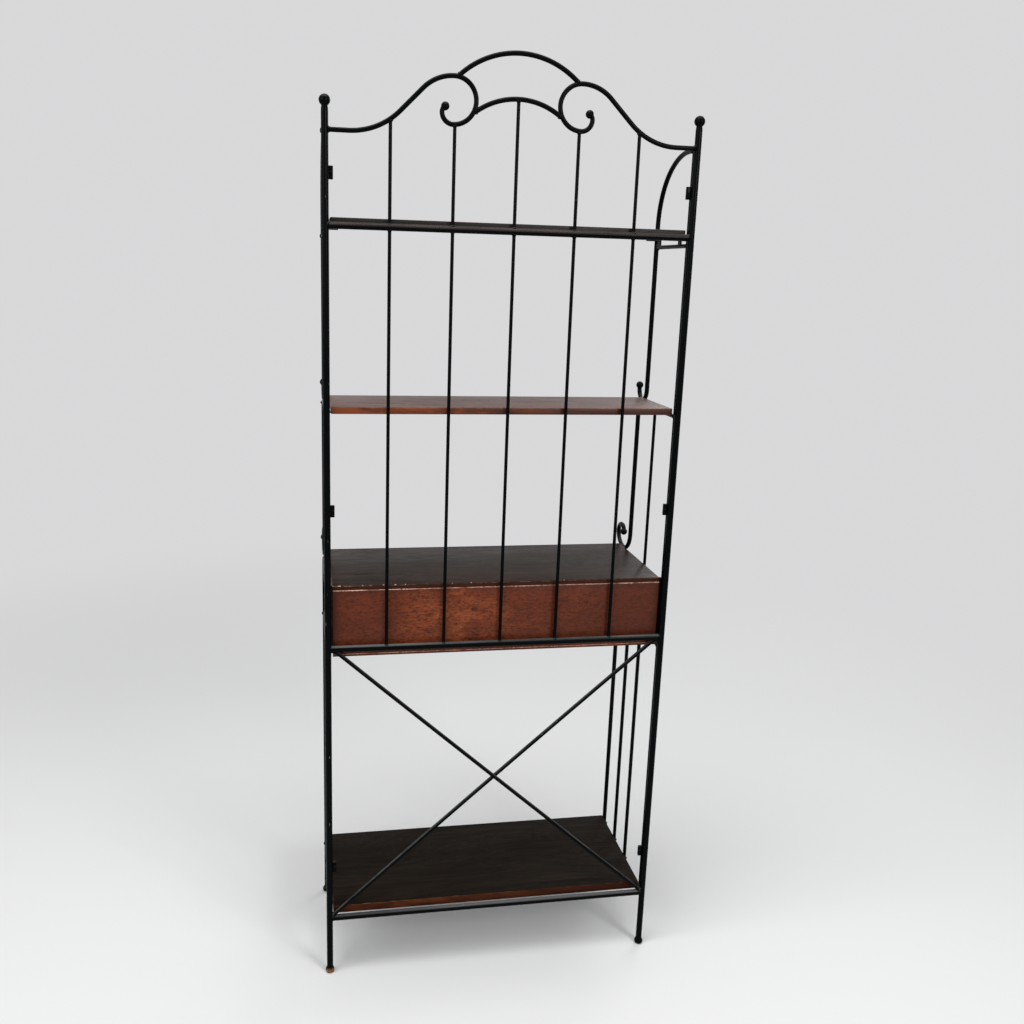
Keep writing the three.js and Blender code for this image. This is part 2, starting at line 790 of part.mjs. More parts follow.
function knobSolid(centreX, level, faceDepth) {
  const cap = knob_diameter / 2;
  const stem = knob_stem_diameter / 2;
  const base = knob_base_diameter / 2;
  const cap_height = knob_reach - cap;
  const edge_share = 0.72;
  const crown_share = 0.55;
  const profile = [
    [0, 0],
    [base, 0],
    [base, knob_base_height * edge_share],
    [stem, knob_base_height],
    [stem, cap_height * edge_share],
    [cap * edge_share, cap_height],
    [cap, cap_height + cap * edge_share / 2],
    [cap * edge_share, knob_reach - cap * (1 - edge_share) / 2],
    [cap * crown_share / 2, knob_reach],
    [0, knob_reach],
  ];
  return turned(profile, post_facets).rotate([90, 0, 0]).translate([centreX, -faceDepth, level]);
}

function makeDrawers() {
  const front = case_front - drawer_front_setback;
  const inside_low = case_underside + case_bottom_thickness;
  const inside_high = counter_level - case_top_thickness;
  const cell_inner = case_end_thickness / 2;
  const cell_outer = case_half_width - case_end_thickness;
  const half_width = (cell_outer - cell_inner) / 2 - drawer_gap;
  const tray_half = (cell_outer - cell_inner) / 2 - tray_side_gap;
  const tray_front = front - drawer_front_thickness;
  const tray_rear = shelf_rear_depth + case_back_thickness + tray_rear_gap;
  for (const [name, side] of side_names) {
    const centre = side * (cell_outer + cell_inner) / 2;
    const front_low = inside_low + drawer_gap;
    const front_high = inside_high - drawer_gap;
    addPiece(`drawer_front_${name}`, frontSolid(centre, half_width, front_low, front_high, front), red_board);
    const tray_low = inside_low + tray_ride;
    const outer = block([centre - tray_half, -tray_front, tray_low],
      [centre + tray_half, -tray_rear, tray_low + tray_height]);
    const hollow = block([centre - tray_half + tray_wall, tray_wall - tray_front, tray_low + tray_bottom],
      [centre + tray_half - tray_wall, -tray_rear - tray_wall, inside_high]);
    addPiece(`drawer_tray_${name}`, outer.subtract(hollow), raw_board);
    const level = (front_low + front_high) / 2;
    addPiece(`drawer_knob_${name}`, knobSolid(centre, level, front), iron);
  }
}

makePosts();
makeArchedTop();
makeGrille();
makeBraces();
for (const [name, side] of side_names) makeSideFrame(name, side);
makeClips();
makeShelves();
makeCase();
makeDrawers();

// The rack is centred over the origin
const extent = new THREE.Box3().setFromObject(rack);
rack.position.y = -(extent.min.y + extent.max.y) / 2;
rack.updateMatrixWorld(true);

export default rack;
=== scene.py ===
"""Bakers rack of round iron bar with wooden shelves and a drawer case at counter height.

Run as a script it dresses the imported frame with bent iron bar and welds, grained boards, drawers and a stage.
"""

import math

import bmesh
import bpy
from mathutils import Matrix, Vector


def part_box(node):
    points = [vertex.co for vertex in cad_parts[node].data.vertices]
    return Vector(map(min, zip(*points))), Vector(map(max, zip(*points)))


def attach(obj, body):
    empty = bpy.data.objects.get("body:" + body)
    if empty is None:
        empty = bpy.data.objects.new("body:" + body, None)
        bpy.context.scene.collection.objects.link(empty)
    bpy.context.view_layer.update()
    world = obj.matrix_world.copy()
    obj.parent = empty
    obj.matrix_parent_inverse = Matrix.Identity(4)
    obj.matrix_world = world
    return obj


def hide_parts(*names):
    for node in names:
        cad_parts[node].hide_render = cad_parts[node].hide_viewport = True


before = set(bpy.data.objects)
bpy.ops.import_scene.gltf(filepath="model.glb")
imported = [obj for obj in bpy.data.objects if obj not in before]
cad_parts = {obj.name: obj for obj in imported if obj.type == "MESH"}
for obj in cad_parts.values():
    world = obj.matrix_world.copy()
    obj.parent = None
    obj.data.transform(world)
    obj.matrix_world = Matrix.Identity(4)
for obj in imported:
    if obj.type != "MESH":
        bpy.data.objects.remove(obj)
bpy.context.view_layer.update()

bl_info = {
    "name": "Bakers rack",
    "version": (1, 0, 0),
    "blender": (4, 5, 0),
    "location": "View3D > Sidebar > Rack",
    "description": "Iron bars, welds, boards and drawers of a bakers rack",
    "category": "Add Mesh",
}

# Each side's name and its direction along X
SIDES = (("left", -1), ("right", 1))

UP, DOWN = Vector((0, 0, 1)), Vector((0, 0, -1))
REARWARD, FORWARD = Vector((0, 1, 0)), Vector((0, -1, 0))
QUARTER = math.pi / 2

# Gap that a weld closes, and the clearance of parts that only touch
WELD_GAP, CLEARANCE = 0.0003, 0.0001
# How far a thin bar's end runs into what it is welded to
TUCK = 0.001
# Thickness of a ledge's plate, and the round on the edges of the case's boards
PLATE, BOARD_EASE = 0.003, 0.0005
# How far the boards' rear edges lie in front of the grille's plane
BOARD_SETBACK = 0.0076
# Largest step along a run, largest turn in one step of a bend, and the angle from which an edge stays sharp
RUN_STEP, BEND_STEP, SHARP = 0.02, math.radians(3), math.radians(50)


def middle(node):
    """Middle of a CAD node's box"""
    low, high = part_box(node)
    return (low + high) / 2


def span(node, axis):
    """Lowest and highest value of a CAD node's box along an axis"""
    low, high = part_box(node)
    return low[axis], high[axis]


POST_X = middle("post_right").x
GRILLE_Y = middle("post_right").y


def length(name, description, default):
    return bpy.props.FloatProperty(
        name=name, description=description, default=default, unit="LENGTH", precision=5
    )


def angle(name, description, degrees):
    return bpy.props.FloatProperty(
        name=name, description=description, default=math.radians(degrees), subtype="ANGLE"
    )


def power(name, default):
    return bpy.props.FloatProperty(
        name=name, description=f"Power of the {name.lower()}", default=default, unit="POWER"
    )


def colour(name, description, default):
    return bpy.props.FloatVectorProperty(
        name=name, description=description, default=default, size=3, min=0, max=1, subtype="COLOR"
    )


class RackBarSizes(bpy.types.PropertyGroup):
    """Diameters of the bar stock and of the forged ends"""

    post: length("Post", "Diameter of the posts and rails", 0.0127)
    rod: length("Rod", "Diameter of the front rods, legs and uprights", 0.0095)
    arch: length("Arch", "Diameter of the arched top", 0.0087)
    side_rail: length("Side rail", "Diameter of the rails of the side frames", 0.008)
    brace: length("Brace", "Diameter of the crossed braces", 0.008)
    bar: length("Grille bar", "Diameter of the thin upright bars", 0.0064)
    lower_bar: length("Lower side bar", "Diameter of the lower bars of the side frames", 0.0079)
    scroll_ball: length("Scroll ball", "Diameter of the ball at a scroll's end in the arch", 0.015)
    rod_ball: length("Rod ball", "Diameter of the ball at a front rod's end", 0.0155)
    finial: length("Finial", "Diameter of the ball on a post", 0.020)
    finial_level: length("Finial level", "Height of the middle of the ball on a post", 1.713)
    foot: length("Foot", "Diameter of a foot at its belly", 0.0185)
    sole: length("Sole", "Diameter of a foot where it meets the floor", 0.013)
    foot_height: length("Foot height", "Height of a foot", 0.015)


class RackBends(bpy.types.PropertyGroup):
    """Radii, runs and angles of the bent bars"""

    lead_run: length("Lead run", "Straight run of the arch from its post", 0.041)
    sweep: length("Sweep", "Radius of the arch's upward sweep", 0.125)
    sweep_angle: angle("Sweep angle", "Slope of the arch between its two bends", 45)
    shoulder: length("Shoulder", "Radius of the arch's shoulder", 0.076)
    crest_offset: length("Crest offset", "Distance of a scroll's crest from the middle", 0.115)
    curl_1: length("Curl 1", "Radius of the scroll's first quarter", 0.0395)
    curl_2: length("Curl 2", "Radius of the scroll's second quarter", 0.040)
    curl_3: length("Curl 3", "Radius of the scroll's third quarter", 0.020)
    curl_4: length("Curl 4", "Radius of the scroll's tip", 0.011)
    curl_tip: angle("Curl tip", "Turn of the scroll's tip", 60)
    crown_half_span: length("Crown half span", "Half the width of the crown arch", 0.108)
    crown_rise: length("Crown rise", "Rise of the crown arch", 0.043)
    inner_drop: length("Inner arch drop", "Drop from the scroll's crest to the inner arch", 0.058)
    inner_rise: length("Inner arch rise", "Rise of the inner arch", 0.026)
    canopy_run: length("Canopy run", "Straight run of the canopy rod from its upright", 0.032)
    canopy: length("Canopy", "First radius of the side canopy curve", 0.151)
    canopy_angle: angle("Canopy angle", "Turn of the first canopy bend", 32)
    canopy_drop: length("Canopy drop", "Drop from the arch's level to the canopy rod", 0.0005)
    hook: length("Hook", "Radius of the hooked end of the upper rod", 0.023)
    hook_rise: length("Hook rise", "Straight end of the hook under its ball", 0.006)
    side_curl_1: length("Side curl 1", "Radius of the first bend of the lower rod", 0.040)
    side_lift: length("Side lift", "Radius of the slow bend after it", 0.053)
    side_lift_angle: angle("Side lift angle", "Turn of the slow bend", 35)
    side_curl_2: length("Side curl 2", "Radius of the side scroll's front", 0.0235)
    side_curl_3: length("Side curl 3", "Radius of the side scroll's upper front", 0.019)
    side_crown: length("Side crown", "Straight run on top of the side scroll", 0.005)
    side_curl_4: length("Side curl 4", "Radius of the side scroll's upper rear", 0.0115)
    side_curl_5: length("Side curl 5", "Radius of the side scroll's tip", 0.007)
    side_tip: angle("Side tip", "Turn of the side scroll's tip", 15)
    leg_bend: length("Leg bend", "Radius of the bend between leg and counter arm", 0.020)
    canopy_rod_depth: length("Upper rod depth", "Depth of the upper front rod", 0.183)
    lower_rod_depth: length("Lower rod depth", "Depth of the lower front rod", 0.227)
    leg_depth: length("Leg depth", "Depth of the front leg", 0.279)
    arch_level: length("Arch level", "Height of the arch where it meets its post", 1.666)
    arm_level: length("Arm level", "Height of the counter arm", 0.8245)
    upright_depth: length("Upright depth", "Depth of the upright in front of its post", 0.0114)
    brace_lift: length("Brace lift", "Rise of the braces over the middles of the rails", 0.004)


class RackBoards(bpy.types.PropertyGroup):
    """Edges of the boards and clips"""

    ease: length("Eased edge", "Round on the edges of the shelves", 0.0016)
    front_bevel: length("Drawer front bevel", "Bevel round a drawer front", 0.003)
    tab_ease: length("Eased tab", "Round on the edges of a clip", 0.0012)
    rivet: length("Rivet", "Diameter of a rivet head on a clip", 0.0042)
    spacer_depth: length("Spacer depth", "Depth of the strip between case and side frame", 0.0062)


class RackFinishes(bpy.types.PropertyGroup):
    """Colours of the paint, the wood and the wear, and of the highlights painted on the iron"""

    iron: colour("Iron paint", "Satin black paint with a slight blue cast", (0.0010, 0.0015, 0.0018))
    # Painted highlight: grey laid on the upward faces of the iron, strongest on the rails, patchy like rubbed
    # paint
    iron_high: colour("Iron paint, rubbed", "Grey of the rubbed tops of the rails", (0.105, 0.107, 0.106))
    # Painted highlight and reflection: brown-grey laid on the upper part of the top rail
    iron_top_rail_highlight: colour("Iron paint, top rail", "Brown-grey light on the top rail", (0.078, 0.062, 0.056))
    iron_chip: colour("Iron chip", "Bare spots in the paint", (0.36, 0.35, 0.33))
    bronze: colour("Worn foot", "Bronze-brown metal of the worn foot", (0.36, 0.175, 0.065))
    counter_dark: colour("Counter, dark", "Dark grain of the counter top", (0.0155, 0.0098, 0.0072))
    counter_light: colour("Counter, light", "Light grain of the counter top", (0.043, 0.0285, 0.0215))
    shelf_dark: colour("Shelf, dark", "Dark grain of the upper shelves", (0.060, 0.027, 0.020))
    shelf_light: colour("Shelf, light", "Light grain of the upper shelves", (0.180, 0.086, 0.064))
    base_dark: colour("Base shelf, dark", "Dark grain of the base shelf", (0.0040, 0.0026, 0.0018))
    base_light: colour("Base shelf, light", "Light grain of the base shelf", (0.0190, 0.0138, 0.0098))
    edge_red: colour("Board edge, red", "Red-brown end of the board edges", (0.060, 0.0180, 0.0100))
    edge_orange: colour("Board edge, orange", "Orange-brown end of the board edges", (0.185, 0.054, 0.0185))
    shelf_edge_red: colour("Shelf edge, red", "Dark end of the middle shelf's edges", (0.040, 0.0080, 0.0026))
    shelf_edge_orange: colour(
        "Shelf edge, orange", "Light end of the middle shelf's edges", (0.172, 0.037, 0.0070)
    )
    edge_black: colour("Board edge, black", "Charcoal edge of the top shelf", (0.0090, 0.0080, 0.0076))
    panel_dark: colour("Panel, dark", "Darkest patches of the rear panel", (0.044, 0.0108, 0.0056))
    panel_red: colour("Panel, red", "Main red-brown of the rear panel", (0.158, 0.0330, 0.0125))
    panel_orange: colour("Panel, orange", "Light patches of the rear panel", (0.330, 0.084, 0.0260))
    worn: colour("Worn line", "Bare wood where an arris is rubbed", (0.80, 0.52, 0.39))
    raw: colour("Raw wood", "Wood of the drawer trays", (0.40, 0.26, 0.15))
    floor: colour("Floor", "Floor under the rack", (0.74, 0.745, 0.75))
    backdrop: colour("Backdrop", "Pale ground behind the rack", (0.69, 0.69, 0.70))


class RackStage(bpy.types.PropertyGroup):
    """Camera and light"""

    camera_place: bpy.props.FloatVectorProperty(
        name="Camera", description="Place of the camera from the middle of the grille's plane on the floor",
        default=(0.3794, 1.7965, 1.4356), subtype="TRANSLATION",
    )
    yaw: angle("Yaw", "Turn of the camera from square on", 10.239)
    pitch: angle("Pitch", "Tilt of the camera below the horizon", 13.120)
    roll: angle("Roll", "Roll of the camera", 1.659)
    lens: bpy.props.FloatProperty(
        name="Lens", description="Focal length", default=34.462, min=1, unit="CAMERA"
    )
    shift: bpy.props.FloatVectorProperty(
        name="Shift", description="Sideways and upward shift of the frame", size=2,
        default=(0.03468, -0.01141),
    )
    key: power("Key light", 72)
    side: power("Side light", 42)
    fill: power("Fill light", 34)
    top: power("Top light", 56)
    sky: bpy.props.FloatProperty(
        name="Sky", description="Strength of the surrounding light", default=0.38, min=0
    )


def settings():
    """The scene's groups of sizes, colours and light"""
    scene = bpy.context.scene
    return scene.rack_bars, scene.rack_bends, scene.rack_boards, scene.rack_finishes, scene.rack_stage


# Node trees


VECTOR, FLOAT, WHOLE = "NodeSocketVector", "NodeSocketFloat", "NodeSocketInt"
GEOMETRY, PAINT, PART = "NodeSocketGeometry", "NodeSocketMaterial", "NodeSocketObject"


class Nodes:
    """Adds nodes to a tree and links them"""

    def __init__(self, tree):
        self.tree = tree
        self.count = 0

    def add(self, kind, inputs=(), **values):
        node = self.tree.nodes.new(kind)
        node.location = (200 * (self.count % 8), -220 * (self.count // 8))
        self.count += 1
        for key, value in values.items():
            setattr(node, key, value)
        for key, value in dict(inputs).items():
            self.put(node.inputs[key], value)
        return node

    def put(self, target, value):
        if isinstance(value, bpy.types.NodeSocket):
            self.tree.links.new(value, target)
        else:
            target.default_value = value

    def maths(self, operation, *values):
        return self.add("ShaderNodeMath", dict(enumerate(values)), operation=operation).outputs[0]

    def plus(self, first, second):
        return self.maths("ADD", first, second)

    def minus(self, first, second):
        return self.maths("SUBTRACT", first, second)

    def times(self, first, second):
        return self.maths("MULTIPLY", first, second)

    def larger(self, first, second):
        return self.maths("MAXIMUM", first, second)

    def smaller(self, first, second):
        return self.maths("MINIMUM", first, second)

    def apart(self, first, second):
        """Distance between two values"""
        return self.maths("ABSOLUTE", self.minus(first, second))

    def swing(self, noise, size):
        """Noise made to swing about zero, half as far as size to each side"""
        return self.times(self.minus(noise, 0.5), size)

    def vectors(self, operation, inputs, result=0):
        return self.add("ShaderNodeVectorMath", inputs, operation=operation).outputs[result]

    def split(self, vector):
        return self.add("ShaderNodeSeparateXYZ", {"Vector": vector}).outputs

    def blend(self, factor, first, second):
        node = self.add("ShaderNodeMix", {0: factor, 6: first, 7: second}, data_type="RGBA", blend_type="MIX")
        return node.outputs[2]

    def fit(self, value, low, high, to_low=0.0, to_high=1.0, smooth=False):
        """Carries low to high over to to_low to to_high, and stops at its ends"""
        inputs = dict(enumerate((value, low, high, to_low, to_high)))
        kind = "SMOOTHSTEP" if smooth else "LINEAR"
        return self.add("ShaderNodeMapRange", inputs, interpolation_type=kind).outputs[0]

    def noise(self, vector, scale, detail=3.0, roughness=0.55, distortion=0.0, turn=0.0, shift=0.0):
        """Noise at one scale, or at a scale for each axis, then turned about Y and shifted along X"""
        if isinstance(scale, tuple):
            vector = self.add("ShaderNodeMapping", {
                "Vector": vector, "Location": (shift, 0, 0), "Rotation": (0, turn, 0), "Scale": scale,
            }).outputs[0]
            scale = 1.0
        return self.add("ShaderNodeTexNoise", {
            "Vector": vector, "Scale": scale, "Detail": detail, "Roughness": roughness,
            "Distortion": distortion,
        }).outputs[0]

    def facing_up(self):
        """How far a face looks up, from -1 to 1"""
        return self.split(self.add("ShaderNodeNewGeometry").outputs["Normal"])["Z"]

    def upward(self, low, high):
        """Mask of faces that look up"""
        return self.fit(self.facing_up(), low, high, smooth=True)


def new_tree(name, kind, inputs, outputs):
    """A node group with its sockets, with the nodes to fill it and its own inputs and outputs"""
    tree = bpy.data.node_groups.new(name, kind)
    for label, form, default in inputs:
        made = tree.interface.new_socket(name=label, in_out="INPUT", socket_type=form)
        if default is not None:
            made.default_value = default
    for label, form in outputs:
        tree.interface.new_socket(name=label, in_out="OUTPUT", socket_type=form)
    n = Nodes(tree)
    return n, n.add("NodeGroupInput").outputs, n.add("NodeGroupOutput").inputs


# Shader groups and materials


def darker(tone, strength):
    return [c * strength for c in tone]


def rgba(tone, strength=1.0):
    return (*darker(tone, strength), 1.0)


def wood_grain_group():
    """Grain that runs along X: fine pores, broad figure, bands and their height"""
    n, given, out = new_tree(
        "Wood grain", "ShaderNodeTree",
        [("Vector", VECTOR, None), ("Scale", FLOAT, 1.0), ("Figure", FLOAT, 1.0), ("Seed", FLOAT, 0.0)],
        [("Pores", FLOAT), ("Figure", FLOAT), ("Bands", FLOAT), ("Height", FLOAT)],
    )
    seed = given["Seed"]
    offset = n.add("ShaderNodeCombineXYZ", {"X": seed, "Y": seed, "Z": seed}).outputs[0]
    moved = n.vectors("ADD", {0: given["Vector"], 1: offset})
    base = n.vectors("SCALE", {0: moved, "Scale": given["Scale"]})
    lean = n.swing(n.noise(base, (2.2, 6, 6), 2.0), n.times(given["Figure"], 0.12))
    warp = n.add("ShaderNodeCombineXYZ", {"X": 0.0, "Y": lean, "Z": lean}).outputs[0]
    bent = n.vectors("ADD", {0: base, 1: warp})
    pores = n.noise(bent, (9, 420, 420), 3.0, 0.65)
    fibres = n.noise(bent, (3, 95, 95), 4.0, 0.6)
    figure = n.noise(bent, (2.6, 15, 15), 4.0, 0.55, 0.6)
    bands = n.noise(bent, (1.1, 42, 42), 2.0, 0.5, 0.3)
    n.put(out["Pores"], n.fit(pores, 0.42, 0.62, smooth=True))
    n.put(out["Figure"], n.fit(figure, 0.30, 0.70, smooth=True))
    n.put(out["Bands"], n.fit(n.plus(n.times(fibres, 0.6), n.times(bands, 0.4)), 0.34, 0.66))
    n.put(out["Height"], n.minus(n.times(fibres, 0.5), n.times(pores, 0.5)))
    return n.tree


def wear_group():
    """Chips and streaks in the paint, rub patches that make the iron's painted highlight patchy, dust and a
    fine orange-peel height
    """
    n, given, out = new_tree(
        "Paint wear", "ShaderNodeTree",
        [("Vector", VECTOR, None), ("Streak", VECTOR, (1.0, 1.0, 1.0)), ("Chips", FLOAT, 0.5),
         ("Rub", FLOAT, 0.5)],
        [("Chips", FLOAT), ("Rub", FLOAT), ("Dust", FLOAT), ("Height", FLOAT)],
    )
    place = given["Vector"]
    drawn = n.vectors("MULTIPLY", {0: place, 1: given["Streak"]})
    specks = n.noise(drawn, 230.0, 2.0, 0.5)
    clusters = n.fit(n.noise(place, 7.0, 3.0, 0.6), 0.53, 0.62)
    limit = n.minus(0.80, n.times(given["Chips"], 0.12))
    n.put(out["Chips"], n.times(n.fit(specks, limit, n.plus(limit, 0.025)), clusters))
    # Rub patches, which make the iron's painted highlight patchy
    rub = n.fit(n.noise(drawn, (22, 22, 22), 4.0, 0.65), 0.36, 0.62, 0.45, 1.0, smooth=True)
    n.put(out["Rub"], n.times(rub, given["Rub"]))
    n.put(out["Dust"], n.noise(place, 55.0, 5.0, 0.7))
    peel = n.noise(place, 420.0, 2.0, 0.5)
    dents = n.noise(place, 60.0, 2.0, 0.5)
    n.put(out["Height"], n.plus(n.times(peel, 0.3), n.times(dents, 0.7)))
    return n.tree


def shader_group(n, tree, **inputs):
    return n.add("ShaderNodeGroup", inputs, node_tree=tree).outputs


def new_material(name):
    """A material with its nodes, the place on the object, and the inputs of its one shader"""
    material = bpy.data.materials.new(name)
    material.use_nodes = True
    material.node_tree.nodes.clear()
    n = Nodes(material.node_tree)
    place = n.add("ShaderNodeTexCoord").outputs["Object"]
    shader = n.add("ShaderNodeBsdfPrincipled")
    n.add("ShaderNodeOutputMaterial", {"Surface": shader.outputs[0]})
    return material, n, place, shader.inputs


def surface(n, shader, tint, rough, height, bump, sheen, depth=0.0005):
    """Sets the shader's colour and roughness, its bump from a height, and its plain specular level"""
    bumped = n.add("ShaderNodeBump", {"Strength": bump, "Distance": depth, "Height": height})
    n.put(shader["Base Color"], tint)
    n.put(shader["Roughness"], rough)
    n.put(shader["Normal"], bumped.outputs[0])
    shader["Specular IOR Level"].default_value = sheen


def iron_material(name, wear, finishes, streak, rubbed, chips, bronzed=False, lit=(0.30, 0.90), high=None):
    """Satin black paint over iron, chipped in places, and greyer where it looks up by as much as lit says: a
    painted highlight, patchy like rubbed paint

    Streaks run along the axis in which streak is small. A bronzed bar is bare metal at its foot.
    """
    material, n, place, shader = new_material(name)
    worn = shader_group(n, wear, Vector=place, Streak=streak, Chips=chips, Rub=rubbed)
    # Painted highlight on upward faces, as strong as rubbed says, in the colour high when given, else in the
    # grey painted highlight
    highlight_mask = n.times(n.upward(*lit), worn["Rub"])
    tint = n.blend(highlight_mask, rgba(finishes.iron), rgba(high or finishes.iron_high))
    tint = n.blend(worn["Chips"], tint, rgba(finishes.iron_chip))
    if bronzed:
        low = n.fit(n.split(place)["Z"], 0.006, 0.013, 1.0, 0.0, smooth=True)
        bare = n.times(low, n.fit(n.noise(place, 260.0, 4.0, 0.7), 0.44, 0.58, 0.12, 1.0))
        tint = n.blend(bare, tint, rgba(finishes.bronze))
        n.put(shader["Metallic"], n.times(bare, 0.9))
    rough = n.plus(n.fit(worn["Dust"], 0.3, 0.7, 0.20, 0.32), n.times(worn["Chips"], 0.2))
    surface(n, shader, tint, rough, worn["Height"], bump=0.01, sheen=0.038)
    return material


def board_material(name, grain, tops, edges, worn_tint, look):
    """Stained board: satin top, and edges where the stain is thin. Tops and edges are pairs of colours"""
    material, n, place, shader = new_material(name)
    at = n.split(place)
    wood = shader_group(n, grain, Vector=place, Scale=1.0, Figure=1.0, Seed=look["seed"])
    tone = n.plus(n.times(wood["Bands"], 0.65), n.times(wood["Figure"], 0.35))
    top = n.blend(tone, rgba(tops[0]), rgba(tops[1]))
    top = n.blend(n.times(wood["Pores"], 0.35), top, rgba(tops[0], 0.4))
    crack = crack_mask(n, place, at, *look["crack"]) if "crack" in look else 0.0
    top = n.blend(crack, top, rgba(tops[0], 0.2))
    across = n.fit(at["X"], -0.30, 0.20, smooth=True)
    patches = n.fit(n.noise(place, (16, 60, 60), 4.0, 0.6), 0.40, 0.58, 0.22, 1.0)
    side = n.blend(n.times(across, patches), rgba(edges[0]), rgba(edges[1]))
    side = n.blend(n.times(n.fit(wood["Bands"], 0.50, 0.95), 0.55), side, rgba(edges[0], 0.35))
    flat = n.larger(n.upward(0.25, 0.75), n.fit(n.facing_up(), -0.5, -0.9))
    tint = n.blend(flat, side, top)
    corner = n.times(n.upward(0.12, 0.45), n.fit(flat, 0.0, 0.85, 1.0, 0.0))
    rubbed = n.fit(at["X"], look.get("worn_from", -0.1), 0.34, smooth=True)
    rubbed = n.times(n.fit(rubbed, 0.0, 1.0, 0.25, 1.0), look["arris"])
    rubbed = n.times(rubbed, n.fit(n.noise(place, (60, 160, 160), 3.0, 0.65), 0.48, 0.60))
    tint = n.blend(n.times(corner, rubbed), tint, rgba(worn_tint))
    if "specks" in look:
        tint = n.blend(speck_line(n, place, at, *look["specks"]), tint, rgba(worn_tint))
    gloss = look["gloss"]
    smears = n.fit(n.noise(place, (5, 9, 9), 4.0, 0.6), 0.3, 0.7, gloss, gloss + 0.12)
    rough = n.larger(n.plus(smears, n.times(wood["Pores"], 0.10)), crack)
    surface(n, shader, tint, rough, wood["Height"], bump=0.20, sheen=look["sheen"])
    return material


def crack_mask(n, place, at, depth, start, end, half_width):
    """A thin dark split along the grain, at a depth in Y, that runs from start to end in X"""
    line = n.plus(depth, n.swing(n.noise(place, (9, 0.1, 0.1), 2.0, 0.5), 0.010))
    thin = n.fit(n.apart(at["Y"], line), half_width * 0.25, half_width, 1.0, 0.0, smooth=True)
    along = n.fit(at["X"], start, start + (end - start) * 0.45, smooth=True)
    stop = n.fit(at["X"], end - 0.004, end, 1.0, 0.0, smooth=True)
    return n.times(n.times(thin, along), n.times(stop, 0.85))


def speck_line(n, place, at, depth, half_width, start, end):
    """Dots of bare wood along a rear arris at a depth in Y, dense near end and sparse towards start in X"""
    limit = n.fit(at["X"], start, end, 0.72, 0.55)
    dots = n.fit(n.noise(place, (290, 40, 40), 2.0, 0.6), limit, n.plus(limit, 0.06), 0.0, 0.8)
    dots = n.times(dots, n.upward(0.25, 0.45))
    return n.times(dots, n.fit(n.apart(at["Y"], depth), half_width * 0.4, half_width, 1.0, 0.0))


def panel_material(name, grain, finishes, board, look):
    """Red-brown stained panel with blotchy orange figure and slanting streaks, with painted light that fades
    across the bays and painted shade near the board's edges
    """
    material, n, place, shader = new_material(name)
    at = n.split(place)
    low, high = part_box(board)
    dark = finishes.panel_dark
    wood = shader_group(n, grain, Vector=place, Scale=1.0, Figure=2.6, Seed=look["seed"])
    blotch = n.noise(place, (9, 9, 15), 7.0, 0.72, 1.5, turn=0.5)
    cloud = n.noise(place, (2.0, 2.0, 5.0), 3.0, 0.5)
    ripple = n.noise(place, (20, 20, 95), 3.0, 0.6, 0.8, turn=0.62)
    light = n.times(n.fit(blotch, 0.42, 0.64, smooth=True), n.fit(cloud, 0.36, 0.60, 0.35, 1.0))
    light = n.times(light, n.fit(ripple, 0.40, 0.60, 0.30, 1.0))
    # Painted light: the orange patches fade in the bays where less light falls
    if look.get("lit"):
        light = n.times(light, lit_bays(n, at, cloud, 0.12))
    tint = n.blend(light, rgba(finishes.panel_red), rgba(finishes.panel_orange))
    tint = n.blend(n.times(n.fit(wood["Bands"], 0.30, 0.85), 0.26), tint, rgba(dark))
    flecks = n.noise(place, (150, 150, 260), 3.0, 0.75, turn=0.4)
    tint = n.blend(n.fit(flecks, 0.48, 0.64, 0.0, 0.7), tint, rgba(dark, 0.6))
    tint = n.blend(n.times(wood["Pores"], 0.30), tint, rgba(dark, 0.5))
    # Painted shade: the bays that get less light are darkened
    if look.get("lit"):
        tint = n.blend(n.minus(1.0, lit_bays(n, at, cloud, 0.45)), tint, rgba(dark))
    if "knot" in look:
        tint = n.blend(knot_mask(n, place, at, *look["knot"]), tint, rgba(dark, 0.5))
    # Painted shade: darker within 14 mm of the board's edges, where it meets the parts round it
    rise = n.smaller(n.minus(at["Z"], low.z), n.minus(high.z, at["Z"]))
    ends = n.smaller(n.minus(at["X"], low.x), n.minus(high.x, at["X"]))
    inside = n.plus(n.smaller(rise, n.times(ends, 0.8)), n.swing(blotch, 0.03))
    tint = n.blend(n.fit(inside, 0.0, 0.014, 0.60, 0.0, smooth=True), tint, rgba(dark))
    if "worn_line" in look:
        tint = n.blend(worn_line(n, place, at, *look["worn_line"]), tint, rgba(finishes.worn))
    rough = n.fit(blotch, 0.3, 0.7, 0.34, 0.50)
    surface(n, shader, tint, rough, wood["Height"], bump=0.25, sheen=0.16)
    return material


def lit_bays(n, at, cloud, least):
    """How much painted light falls across the panel, from least to 1

    It is fullest between the middle and the second bay from the +X end.
    """
    across = n.plus(at["X"], n.swing(cloud, 0.16))
    rise = n.fit(across, -0.06, 0.03, smooth=True)
    fall = n.fit(across, 0.16, 0.24, 1.0, 0.10, smooth=True)
    far = n.fit(across, -0.32, -0.10, 0.0, 0.35, smooth=True)
    return n.fit(n.larger(n.times(rise, fall), far), 0.0, 1.0, least, 1.0)


def knot_mask(n, place, at, across, level, radius):
    """A small dark knot in a panel, wider than it is high"""
    x = n.times(n.minus(at["X"], across), 0.6)
    z = n.minus(at["Z"], level)
    away = n.maths("SQRT", n.plus(n.times(x, x), n.times(z, z)))
    away = n.plus(away, n.swing(n.noise(place, 160.0, 2.0), radius * 1.2))
    return n.fit(away, radius * 0.4, radius, 0.75, 0.0, smooth=True)


